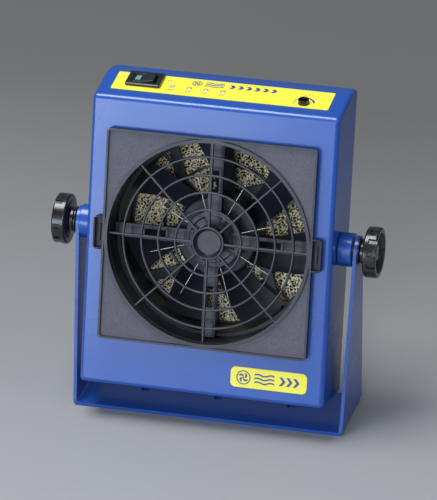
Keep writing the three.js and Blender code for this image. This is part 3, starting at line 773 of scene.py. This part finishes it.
def screw(node, at, seat, radius, length):
    """A pan-head screw with a cross recess, driven forwards."""
    head, tall = 1.9 * radius, 1.2 * radius
    body = turned([
        (0, -length), (radius * 0.8, -length), (radius, -length + 0.8), (radius, 0), (head, 0),
        *dome(head, tall * 0.35, tall * 0.65, 8), (0, tall),
    ], 40)
    arm = radius * 0.95
    slots = [
        bar((-arm, arm), (tall * 0.45, tall + 1), (-radius * 0.2, radius * 0.2), edge=0),
        bar((-radius * 0.2, radius * 0.2), (tall * 0.44, tall + 1), (-arm, arm), edge=0),
    ]
    for slot in slots:
        body = cut(body, slot)
    place = HEAD @ Matrix.Translation((at[0] * MM, seat * MM, at[1] * MM))
    add_piece(edged(body, 0.06, angle=60, segments=1), place, STEEL, "steel", node)


def screws():
    for i, at in enumerate(COVER_SCREWS):
        screw(f"cover_screw_{i + 1}", at, COVER_SEAT, 1.3, 6)
    for i, at in enumerate(FAN_SCREWS):
        screw(f"fan_screw_{i + 1}", at, FAN_SEAT, 1.9, 20)


# ---- Tilt clamps ----

KNOB_FLUTES = 12


def sideways(mesh, outward):
    """A piece turned about y, laid along x with its y pointing out of the head."""
    return moved(mesh, Matrix.Rotation(radians(-90 * outward), 4, "Z"))


def along(node):
    """How far a clamp piece reaches outwards, from and to, in millimetres."""
    low, high = extent(node, CLAMP)
    return (low.x, high.x) if high.x > 0 else (-high.x, -low.x)


def knob(side, outward):
    """A fluted hand knob on a slim neck, hollowed at its outer end."""
    start, end = along(f"knob_{side}")
    radius, rim = 15, end - 8
    profile = eased([
        (0, start, 0), (7.4, start, 0.6), (7.4, rim - 1, 0.5), (11, rim - 0.6, 0.3), (11.8, rim, 0.3),
        (radius, rim, 1.1), (radius, end, 1.1), (12, end, 0.7), (11.2, end - 2.6, 0.6), (5, end - 3, 0.5),
        (4.6, end - 1.6, 0.4), (0, end - 1.6, 0),
    ], 4)
    body = turned(profile, 144)
    groove = [(-1.9, radius + 1), (-1.15, radius - 1.25), (1.15, radius - 1.25), (1.9, radius + 1)]
    flutes = around(lambda: deep(groove, end - 5.2, end + 1), KNOB_FLUTES, 7.5)
    mesh = edged(cut(body, *flutes), 0.3, angle=38)
    add_piece(sideways(mesh, outward), CLAMP, GLOSS, "gloss_black", f"knob_{side}")


def clamp(side, outward):
    knob(side, outward)
    inner, outer = along(f"spacer_{side}")
    bush = hoop(STUD_HOLE, 10, inner, outer, edge=0.5)
    add_piece(sideways(bush, outward), CLAMP, ENAMEL, "blue_paint", f"spacer_{side}")
    inner, outer = along(f"washer_{side}")
    ring = hoop(STUD_HOLE, 8, inner, outer, edge=0.4)
    add_piece(sideways(ring, outward), CLAMP, GLOSS, "gloss_black", f"washer_{side}")


# ---- Signs: a fan, airflow waves and chevrons, all generic ----


def stroke(points, width):
    """A line of this width along points, as a closed outline."""
    left, right = [], []
    for i, point in enumerate(points):
        before, after = points[max(i - 1, 0)], points[min(i + 1, len(points) - 1)]
        way = (Vector(after) - Vector(before)).normalized()
        normal = Vector((-way.y, way.x)) * (width[i] if isinstance(width, list) else width) / 2
        left.append(tuple(Vector(point) + normal))
        right.append(tuple(Vector(point) - normal))
    return left + right[::-1]


def fan_sign(centre, radius):
    """A ring with four comma-shaped blades."""
    x, y = centre
    hub = circle(radius * 0.15, centre, 16)
    signs = [[circle(radius, centre, 40), circle(radius * 0.84, centre, 40)], [hub]]
    for turn in range(0, 360, 90):
        sweep = [radians(turn + 70 * t / 8) for t in range(9)]
        reach = [radius * (0.2 + 0.5 * t / 8) for t in range(9)]
        spine = [(x + r * cos(a), y + r * sin(a)) for a, r in zip(sweep, reach)]
        wide = [radius * 0.32 * sin(pi * (0.12 + 0.8 * t / 8)) for t in range(9)]
        signs.append([stroke(spine, wide)])
    return signs


def waves(start, length, height, rows, width):
    """Rows of airflow waves."""
    signs = []
    for row in range(rows):
        base = start[1] + (row - (rows - 1) / 2) * height
        points = []
        for i in range(25):
            t = i / 24
            points.append((start[0] + length * t, base + height * 0.22 * sin(2 * pi * 1.5 * t)))
        signs.append([stroke(points, width)])
    return signs


def chevrons(start, pitch, count, height):
    """Slanted arrow heads pointing right."""
    signs = []
    for i in range(count):
        x, y, h = start[0] + pitch * i, start[1], height / 2
        thick, tip = pitch * 0.45, h * 0.8
        signs.append([[
            (x, y - h), (x + thick, y - h), (x + thick + tip, y),
            (x + thick, y + h), (x, y + h), (x + tip, y),
        ]])
    return signs


def printed(signs, low, high):
    return [plate(outlines, low, high, 0) for outlines in signs]


def with_print(base, print_mesh):
    """One mesh whose second material is the print."""
    for polygon in base.polygons:
        polygon.material_index = 0
    for polygon in print_mesh.polygons:
        polygon.material_index = 1
    return joined(base, print_mesh)


# ---- Control panel ----

INK_LIFT = 0.03
SIGN_ROW = 23.2          # how far up the panel the signs' row is
SPEED_ARC_RADIUS = 5.9
SPEED_ARC_SPAN = (200, 10)


def speed_arc():
    """A scale that widens clockwise round the speed control."""
    steps = 32
    points = arc(SPEED_AT, SPEED_ARC_RADIUS, *SPEED_ARC_SPAN, steps)
    return [[stroke(points, [0.2 + 1.2 * i / steps for i in range(steps + 1)])]]


def small_signs():
    """On and off marks, a short line under each indicator, and speed marks."""
    sx, sy = SWITCH_AT
    signs = [
        [circle(1.1, (sx + 14.2, sy + 2.6), 24), circle(0.75, (sx + 14.2, sy + 2.6), 24)],
        [soft_rectangle(0.5, 2.4, 0.1, (sx - 13.6, sy + 2.6))],
    ]
    for x, y in INDICATORS:
        signs.append([soft_rectangle(4.6, 0.45, 0.1, (x, y - 3.4))])
        signs.append([soft_rectangle(2.8, 0.45, 0.1, (x, y - 4.4))])
    x, y = SPEED_AT
    for i in range(4):
        signs.append([soft_rectangle(0.5, 0.5 + 0.45 * i, 0.1, (x - 3.6 + 2.4 * i, y + 8.6 + 0.22 * i))])
    return signs


def control_label():
    low, high = extent("control_label", PANEL)
    sx, sy = SWITCH_AT
    middle = ((low.x + high.x) / 2, (low.y + high.y) / 2)
    outlines = [
        soft_rectangle(high.x - low.x, high.y - low.y, 0.8, middle),
        soft_rectangle(19.2, 13.2, 0.4, (sx, sy)),
        circle(3.4, SPEED_AT, 48),
        *[circle(1.6, at, 24) for at in INDICATORS],
    ]
    film = plate(outlines, low.z, high.z, 0.06)
    bold = [
        *fan_sign((-17, SIGN_ROW), 3), *waves((-11.8, SIGN_ROW), 11, 1.8, 3, 0.8),
        *chevrons((2.4, SIGN_ROW), 5, 6, 4),
    ]
    ink = joined(*printed(bold + speed_arc(), high.z - 0.02, high.z + INK_LIFT))
    faint = joined(*printed(small_signs(), high.z - 0.02, high.z + INK_LIFT))
    mesh = with_print(film, ink)
    for polygon in faint.polygons:
        polygon.material_index = 2
    add_piece(joined(mesh, faint), PANEL, FILM, "yellow_film", "control_label", more=(INK, PALE_INK))


def switch():
    low, high = extent("switch_body", SWITCH)
    bezel_low = high.z - 1.8
    bezel = plate([soft_rectangle(21, 15, 0.9), soft_rectangle(14.6, 9.4, 0.4)], bezel_low, high.z, 0.45)
    walls = plate([soft_rectangle(18.6, 12.6, 0.4), soft_rectangle(14.6, 9.4, 0.4)], -6, bezel_low + 0.9, 0.1)
    floor = bar((-9.3, 9.3), (-6.3, 6.3), (-13, -6), edge=0.4)
    tabs = [bar((x - 0.4, x + 0.4), (-2.4, 2.4), (low.z, -12.5), edge=0.15) for x in (-6, 0, 6)]
    add_piece(joined(bezel, walls, floor, *tabs), SWITCH, GLOSS, "gloss_black", "switch_body")


def rocker():
    """The rocker's key, dished across its length, with a lamp window at one end."""
    low, high = extent("switch_rocker", ROCKER)
    half, wide, crest = high.x, high.y, high.z
    dip = crest - half * tan(SWITCH_LEAN)
    outline = eased([
        (-half, -0.6, 0.4), (-3, -3.6, 0.5), (3, -3.6, 0.5), (half, -0.6, 0.4), (half, crest, 0.55),
        (0, dip, 30), (-half, crest, 0.55),
    ], 6)
    key = slab([outline], -wide, wide, 0.45)
    window = bar((-5.6, -1.8), (-2.6, 2.6), (dip - 0.8, crest + 1), edge=0)
    add_piece(cut(key, window), ROCKER, GLOSS, "gloss_black", "switch_rocker")
    low, high = extent("switch_lamp", ROCKER)
    lens = bar((low.x, high.x), (low.y, high.y), (low.z, high.z + 0.15), edge=0.35, steps=3)
    add_piece(lens, ROCKER, GREEN, "green_lens", "switch_lamp")


def indicators():
    for i, at in enumerate(INDICATORS):
        place = PANEL @ Matrix.Translation((at[0] * MM, at[1] * MM, 0)) @ Matrix.Rotation(pi / 2, 4, "X")
        low, high = extent(f"indicator_{i + 1}", place)
        flange = low.y + 2.5
        cap = dome(1.4, high.y - 0.45, 0.6, 6)
        profile = [(0, low.y), (2.2, low.y), (2.2, flange), (1.4, flange), *cap, (0, high.y + 0.15)]
        lens = turned(profile, 32)
        add_piece(lens, place, CLEAR, "clear_lens", f"indicator_{i + 1}")


def speed_control():
    low, high = extent("speed_pot", SPEED)
    body = bar((-5.5, 5.5), (-5.5, 5.5), (low.z, -2), edge=0.4)
    collar = moved(hoop(2.6, 3.2, -high.z, 3, 0.15, 64), STAND_UP)
    socket = cut(body, rod("z", 2.6, -5, 2))
    add_piece(joined(socket, collar), SPEED, GLOSS, "gloss_black", "speed_pot")
    low, high = extent("speed_rotor", SPEED)
    core = cut(rod("z", 2.3, low.z, high.z, count=48), bar((-2.6, 2.6), (-0.45, 0.45), (-1.1, 1), edge=0))
    add_piece(edged(core, 0.12, angle=40), SPEED, GLOSS, "gloss_black", "speed_rotor")


def badge():
    low, high = extent("badge", HEAD)
    x, z = (low.x + high.x) / 2, (low.z + high.z) / 2
    film = slab([soft_rectangle(high.x - low.x, high.z - low.z, 3, (x, z))], low.y, high.y, 0.08)
    signs = [
        *fan_sign((x - 15.2, z), 4.3), *waves((x - 8.6, z), 12, 2.3, 3, 0.95),
        *chevrons((x + 6.2, z), 4.2, 3, 5.4),
    ]
    ink = moved(joined(*printed(signs, -low.y - 0.02, -low.y + INK_LIFT)), STAND_UP)
    add_piece(with_print(film, ink), HEAD, FILM, "yellow_film", "badge", more=(INK,))


# ---- Outlet guard ----

GUARD_BORE = 60
GUARD_BAR = 1.4
GUARD_RINGS = (19.8, 30.1, 40.3, 51.2)
GUARD_SPOKES = 8
SUNK_DEPTH = 1.6
BORDER_HALF = 61.85
RIM_RADIUS = 62.1
CLIP_SLOT_AT = 65.45
HOOK_AT = 65.3


def corner_pocket(quadrant):
    """The sunk triangle between the border and the round rim."""
    reach = degrees(acos(BORDER_HALF / RIM_RADIUS))
    rim = arc((0, 0), RIM_RADIUS, 90 - reach, reach, 40)
    outer = eased([(BORDER_HALF, BORDER_HALF, 1.6), rim[0] + (0,), rim[-1] + (0,)])[:6]
    pocket = [*rim, *outer[::-1]] if signed_area([*rim, *outer]) < 0 else [*rim, *outer]
    turn = radians(90 * quadrant)
    return [(x * cos(turn) - z * sin(turn), x * sin(turn) + z * cos(turn)) for x, z in pocket]


def guard_frame(front, rear):
    """The square border, sunk grained corners and the round rim."""
    outline = deep(soft_rectangle(126.3, 126.3, 2.4), front, rear)
    bore = rod("y", GUARD_BORE, front - 1, rear + 1, count=160)
    pockets = [deep(corner_pocket(q), front - 1, front + SUNK_DEPTH) for q in range(4)]
    mesh = edged(cut(outline, bore, *pockets), 0.32, angle=50)
    floor = front + SUNK_DEPTH
    for polygon in mesh.polygons:
        sunk = abs(polygon.center.y - floor) < 0.02 and polygon.normal.y < -0.9
        polygon.material_index = 1 if sunk else 0
    return mesh


def guard_clip(side, front, rear):
    """A latch loop at one side of the guard."""
    reach = [(62.8, 10), (67.2, 10), (68.8, 8.5), (68.8, -8.5), (67.2, -10), (62.8, -10)]
    outer = eased([(side * x, z, 0.5) for x, z in reach])
    inner = soft_rectangle(4.3, 17.4, 0.4, (side * CLIP_SLOT_AT, 0))
    loop = slab([outer, inner], front, rear, 0.3)
    for polygon in loop.polygons:
        polygon.material_index = 2
    return loop


def front_guard():
    low, high = extent("front_guard", FAN)
    front = low.y
    bar_front, bar_rear = front + 3, front + 5
    plate_rear = front + 2.6
    parts = [guard_frame(front, plate_rear), hoop(GUARD_BORE, 61.4, plate_rear - 0.4, bar_rear, 0.25, 160)]
    for radius in GUARD_RINGS:
        parts.append(hoop(radius - GUARD_BAR / 2, radius + GUARD_BAR / 2, bar_front, bar_rear, 0.45, 128))
    depth, half = (bar_front + 0.04, bar_rear - 0.04), GUARD_BAR / 2
    parts += around(
        lambda: bar((8.9, GUARD_BORE + 0.6), depth, (-half, half), edge=0.42, steps=3), GUARD_SPOKES,
    )
    lip, base = bar_front - 0.4, high.y
    parts.append(turned(eased([
        (0, base - 1.8, 0), (7.2, base - 1.8, 0.8), (8.7, lip + 0.8, 0.4), (8.7, lip, 0.2),
        (9.8, lip, 0.4), (9.8, lip + 1.9, 0.6), (8.2, base, 0.6), (0, base, 0),
    ], 5), 96))
    parts += [guard_clip(side, front + 0.4, plate_rear) for side in (-1, 1)]
    add_piece(joined(*parts), FAN, SATIN, "black_plastic", "front_guard", more=(GRAINED, BLADE))


def guard_base():
    low, high = extent("guard_base", FAN)
    front, rear = high.y - 1.3, high.y
    square = slab([soft_rectangle(125.7, 125.7, 2), circle(61.8, count=128)], front, rear, 0.2)
    lugs = [slab([soft_rectangle(6.4, 18.8, 0.4, (side * 65.2, 0))], front, rear, 0.2) for side in (-1, 1)]
    hooks = [
        bar((side * HOOK_AT - 0.8, side * HOOK_AT + 0.8), (low.y, front + 0.2), (-5, 5), edge=0.3)
        for side in (-1, 1)
    ]
    add_piece(joined(square, *lugs, *hooks), FAN, BLADE, "black_plastic", "guard_base")


def duct_ring():
    low, high = extent("duct_ring", FAN)
    flange = low.y + 1.5
    corners = [(60, low.y), (66, low.y), (66, flange), (61.4, flange), (61.4, high.y), (60, high.y)]
    profile = eased([(*corner, 0.3) for corner in corners], 3)
    add_piece(turned(profile, 128), FAN, BLADE, "black_plastic", "duct_ring")


# ---- Needle holder ----

NEEDLES = 8
NEEDLE_START = 17.5
ARM_HALF = 4.3
WINDOW = (28.5, 41)


def holder_arm(front, rear):
    """One slotted arm with a raised edge round its window and a foot at its end."""
    outline = eased([(12, -ARM_HALF, 0), (59.2, -ARM_HALF, 0.6), (59.2, ARM_HALF, 0.6), (12, ARM_HALF, 0)])
    middle, length = (WINDOW[0] + WINDOW[1]) / 2, WINDOW[1] - WINDOW[0]
    window = soft_rectangle(length, 3.8, 0.5, (middle, 0))
    arm = slab([outline, window], front + 0.35, rear, 0.3)
    edge_outer = soft_rectangle(length + 3.6, 7.4, 0.9, (middle, 0))
    edge_inner = soft_rectangle(length + 0.1, 3.9, 0.5, (middle, 0))
    ridge = slab([edge_outer, edge_inner], front, front + 1, 0.25)
    foot = bar((48.5, 59.2), (front, front + 1), (-3.5, 3.5), edge=0.3)
    return joined(arm, ridge, foot)


def electrode_holder():
    low, high = extent("electrode_holder", FAN)
    front, rear = low.y, high.y
    hub = turned(eased([
        (6.5, front, 0.3), (8.6, front, 0.3), (9.2, front + 1, 0.3), (13.4, front + 1, 0.3), (14, front, 0.3),
        (17, front, 0.4), (17, rear, 0.4), (6.5, rear, 0.3),
    ], 3), 96)
    arms = around(lambda: holder_arm(front, rear), 4)
    depth = (front - 0.05, rear - 0.3)
    sockets = around(
        lambda: bar((10.4, 17.6), depth, (-1.5, 1.5), edge=0.6, steps=3), NEEDLES, NEEDLE_START,
    )
    add_piece(joined(hub, *arms, *sockets), FAN, SATIN, "black_plastic", "electrode_holder")


def needles():
    """Ground points that stand out from the holder's hub like spokes."""
    depth = sum(corner.y for corner in extent("emitter_needle_1", FAN)) / 2
    for i in range(NEEDLES):
        profile = [(0, 16), (0.28, 16), (0.28, 34), (0.16, 38.4), (0.05, 39.9), (0, 40)]
        point = moved(turned(profile, 24), Matrix.Rotation(-pi / 2, 4, "Z"))
        turn = radians(NEEDLE_START + 360 * i / NEEDLES)
        mesh = moved(point, Matrix.Translation((0, depth, 0)) @ Matrix.Rotation(-turn, 4, "Y"))
        add_piece(mesh, FAN, NEEDLE, "steel", f"emitter_needle_{i + 1}")


# ---- Fan ----

BLADES = 7
BLADE_START = -18        # degrees
IMPELLER_TIP = 56
IMPELLER_HUB = 24.5
STRUT_SPAN = (15.8, 22.2)  # each strut passes the axis at this distance
STRUT_START = 17         # degrees


def blade():
    """One twisted, swept blade as a loft of thin rounded sections."""
    root, rows, around_edge = IMPELLER_HUB - 1, 18, 28
    bm = bmesh.new()
    sections = []
    for row in range(rows + 1):
        share = row / rows
        radius = root + (IMPELLER_TIP - root) * share
        pitch = radians(46 - 18 * share)
        chord = 20 + 9 * share
        section = []
        for k in range(around_edge):
            turn = 2 * pi * k / around_edge
            along_chord = cos(turn) / 2
            thick = 0.75 * sin(turn) * (1 - abs(cos(turn)) ** 5 * 0.5)
            camber = 2.4 * (1 - 4 * along_chord ** 2) + thick
            run = along_chord * chord
            lead = run * cos(pitch) - camber * sin(pitch)
            depth = run * sin(pitch) + camber * cos(pitch) - 1.5
            angle = lead / radius + 0.22 * share
            section.append(bm.verts.new((radius * cos(angle), depth, radius * sin(angle))))
        sections.append(section)
    for first, second in zip(sections, sections[1:]):
        bridge(bm, first, second)
    bm.faces.new(sections[0])
    bm.faces.new(sections[-1])
    return mesh_of(bm)


def impeller():
    front, rear, hub = -11.5, 8, IMPELLER_HUB
    cup = turned(eased([
        (0, front + 0.4, 0), (3.6, front + 0.4, 0.3), (4.2, front, 0.3), (hub, front, 1.8), (hub, rear, 0.4),
        (hub - 1.8, rear, 0.4), (hub - 1.8, front + 1.8, 0.8), (0, front + 1.8, 0),
    ], 5), 96)
    base = front + 1.5
    boss = turned(eased([(1.8, base, 0.2), (4.5, base, 0.2), (4.5, -5, 0.3), (1.8, -5, 0.3)], 3), 40)
    blades = around(blade, BLADES, BLADE_START)
    add_piece(joined(cup, boss, *blades), FAN, BLADE, "black_plastic", "impeller", smooth=50)


def fan_housing():
    low, high = extent("fan_housing", FAN)
    square = soft_rectangle(high.x - low.x, high.z - low.z, 4)
    bore = circle(57.8, count=128)
    flanges = [slab([square, bore, *fan_holes()], front, front + 4, 0.4) for front in (low.y, high.y - 4)]
    barrel = hoop(57.8, 59.4, low.y + 0.2, high.y - 0.2, 0.2, 128)
    face = high.y - 2.4
    disc = [(0, face, 0), (IMPELLER_HUB, face, 0.4), (IMPELLER_HUB, high.y, 0.4), (0, high.y, 0)]
    motor = turned(eased(disc, 3), 96)
    depth = (high.y - 2.3, high.y - 0.1)
    struts = around(lambda: bar((0, 56.3), depth, STRUT_SPAN, edge=0.5), 4, STRUT_START)
    add_piece(joined(*flanges, barrel, motor, *struts), FAN, BLADE, "black_plastic", "fan_housing")


# ---- Intake filter ----


def filter_base():
    low, high = extent("filter_base", FAN)
    outline = soft_rectangle(high.x - low.x, high.z - low.z, 3)
    square = slab([outline, circle(INTAKE_RADIUS, count=128), *fan_holes()], low.y, high.y, 0.25)
    rings = [hoop(radius - 0.8, radius + 0.8, low.y, high.y, 0.3) for radius in (20, 38)]
    spokes = around(lambda: bar((19.5, 57.5), (low.y + 0.04, high.y - 0.04), (-0.8, 0.8), edge=0.3), 4, 45)
    add_piece(joined(square, *rings, *spokes), FAN, SATIN, "black_plastic", "filter_base")


def pad_face(bm, radius, level, inward, layer):
    """One pitted face of the pad, as rings of vertices from its middle out to its rolled edge."""
    rings, spokes = 64, 256
    grid = []
    for i in range(rings + 1):
        share = i / rings
        reach = min(radius - 0.2, radius * share)
        roll = 0.9 * max(0.0, share - 0.95) / 0.05
        row = []
        for k in range(spokes):
            turn = 2 * pi * k / spokes
            x, z = reach * cos(turn), reach * sin(turn)
            cell = noise.voronoi(Vector((x / 1.6, z / 1.6, layer)))[0][0]
            pit = 0.25 + 0.7 * min(cell, 1) + roll
            row.append(bm.verts.new((x, level + inward * pit, z)))
        grid.append(row)
    for inner, outer in zip(grid, grid[1:]):
        bridge(bm, inner, outer)
    return grid[-1]


def filter_pad():
    """A round open-cell pad with a pitted surface and a softly rolled edge."""
    low, high = extent("filter_foam", FAN)
    bm = bmesh.new()
    front = pad_face(bm, high.x, low.y, 1, 3.0)
    rear = pad_face(bm, high.x, high.y, -1, 9.0)
    rows, steps = [front], 3
    for step in range(1, steps):
        swell = 1 + 0.15 / high.x * sin(pi * step / steps)
        points = [first.co.lerp(last.co, step / steps) for first, last in zip(front, rear)]
        rows.append([bm.verts.new((point.x * swell, point.y, point.z * swell)) for point in points])
    for first, second in zip(rows, [*rows[1:], rear]):
        bridge(bm, first, second)
    bmesh.ops.remove_doubles(bm, verts=bm.verts, dist=0.001)
    pad = add_piece(mesh_of(bm), FAN, FOAM, "foam", "filter_foam", smooth=180)


def filter_cover():
    low, high = extent("filter_cover", FAN)
    wall, grid = 1.6, 1.5
    size = high.x - low.x
    outer = soft_rectangle(size, size, 3)
    inner = soft_rectangle(size - 2 * wall, size - 2 * wall, 2)
    skirt = slab([outer, inner], low.y, high.y - 0.5, 0.3)
    face = slab([outer, circle(INTAKE_RADIUS, count=128)], high.y - grid, high.y, 0.4)
    bars = []
    for z in range(-45, 46, 15):
        reach = sqrt((INTAKE_RADIUS + 0.6) ** 2 - z ** 2)
        bars.append(bar((-reach, reach), (high.y - grid, high.y - 0.06), (z - 0.8, z + 0.8), edge=0.35))
    tall = INTAKE_RADIUS + 0.5
    post = bar((-0.8, 0.8), (high.y - grid, high.y - 0.1), (-tall, tall), edge=0.35)
    rim = hoop(INTAKE_RADIUS, INTAKE_RADIUS + 1.6, high.y - 1, high.y, 0.3, 128)
    add_piece(joined(skirt, face, rim, *bars, post), FAN, SATIN, "black_plastic", "filter_cover")


# ---- Mains inlet ----


def inlet_shape(width, height, cut_x, cut_z, radius):
    """The inlet's outline: a rectangle with its two top corners cut off."""
    w, h = width / 2, height / 2
    corners = [(-w, -h), (w, -h), (w, h - cut_z), (w - cut_x, h), (cut_x - w, h), (-w, h - cut_z)]
    return eased([(*corner, radius) for corner in corners])


def power_inlet():
    place = HEAD @ Matrix.Translation((INLET_AT[0] * MM, 0, INLET_AT[1] * MM))
    low, high = extent("power_inlet", place)
    mouth = inlet_shape(24, 16.4, 3.6, 3.6, 0.6)
    flange = slab([soft_rectangle(33, 22.6, 2.4), mouth], high.y - 1.6, high.y, 0.4)
    body = deep(inlet_shape(27.4, 19.8, 4.2, 4.4, 0.6), low.y, high.y - 0.9)
    socket = deep(mouth, -2, high.y + 1)
    shell = edged(cut(body, socket), 0.2, angle=50)
    add_piece(joined(flange, shell), place, GLOSS, "gloss_black", "power_inlet")
    for i in range(3):
        low, high = extent(f"inlet_pin_{i + 1}", place)
        pin = bar((low.x, high.x), (low.y, high.y), (low.z, high.z), edge=0.5, steps=3)
        add_piece(pin, place, STEEL, "steel", f"inlet_pin_{i + 1}")


# ---- CAD pieces that keep their shape ----


def carried():
    """Plain pieces inside the head, which only need their finish."""
    finishes = {
        "weld_nut_left": STEEL, "weld_nut_right": STEEL, "stud_left": STEEL, "stud_right": STEEL,
        "fan_shaft": STEEL, "fan_stator": COPPER, "indicator_board": BOARD, "control_board": BOARD,
        "high_voltage_module": POTTING,
    }
    for node, material in finishes.items():
        frame["nodes"][node].material_slots[0].material = material


# ---- Studio ----


def area_light(name, at, towards, size, power, colour=(1, 1, 1)):
    data = bpy.data.lights.new(name, "AREA")
    data.shape = "RECTANGLE"
    data.size, data.size_y = size
    data.energy = power
    data.color = colour
    lamp = in_scene(name, data)
    way = Vector(towards) - Vector(at)
    lamp.matrix_world = Matrix.Translation(at) @ way.to_track_quat("-Z", "Y").to_matrix().to_4x4()


def studio():
    """A pale floor under large soft lights."""
    bm = bmesh.new()
    bmesh.ops.create_grid(bm, x_segments=8, y_segments=8, size=6)
    mesh = mesh_of(bm)
    floor = in_scene("floor", mesh)
    floor.location.z = CAD_BOX[0][2] - 0.0002
    mesh.materials.append(studio_floor())
    world = bpy.data.worlds.new("studio")
    world.use_nodes = True
    sky = world.node_tree.nodes["Background"].inputs
    sky["Color"].default_value = (0.50, 0.58, 0.72, 1)
    sky["Strength"].default_value = 0.30
    bpy.context.scene.world = world
    bpy.context.scene.view_settings.view_transform = "Standard"
    area_light("key", (-0.45, -0.1, 1.8), (0, 0, 0.1), (0.9, 0.9), 30)
    area_light("card", (-1.1, -2.2, 0.26), (-0.1, 0, 0.15), (1.25, 1.1), 36, (0.74, 0.86, 1))
    area_light("front", (0.3, -2.4, 1.2), (0, 0, 0.1), (0.6, 0.6), 22)
    area_light("fill", (1.7, -0.6, 1.1), (0, 0, 0.1), (0.8, 0.8), 4)


# ---- Assembly ----

stand_bracket()
front_case()
rear_cover()
screws()
for side, outward in (("left", -1), ("right", 1)):
    clamp(side, outward)
control_label()
switch()
rocker()
indicators()
speed_control()
badge()
front_guard()
guard_base()
duct_ring()
electrode_holder()
needles()
impeller()
fan_housing()
filter_base()
filter_pad()
filter_cover()
power_inlet()
carried()
studio()
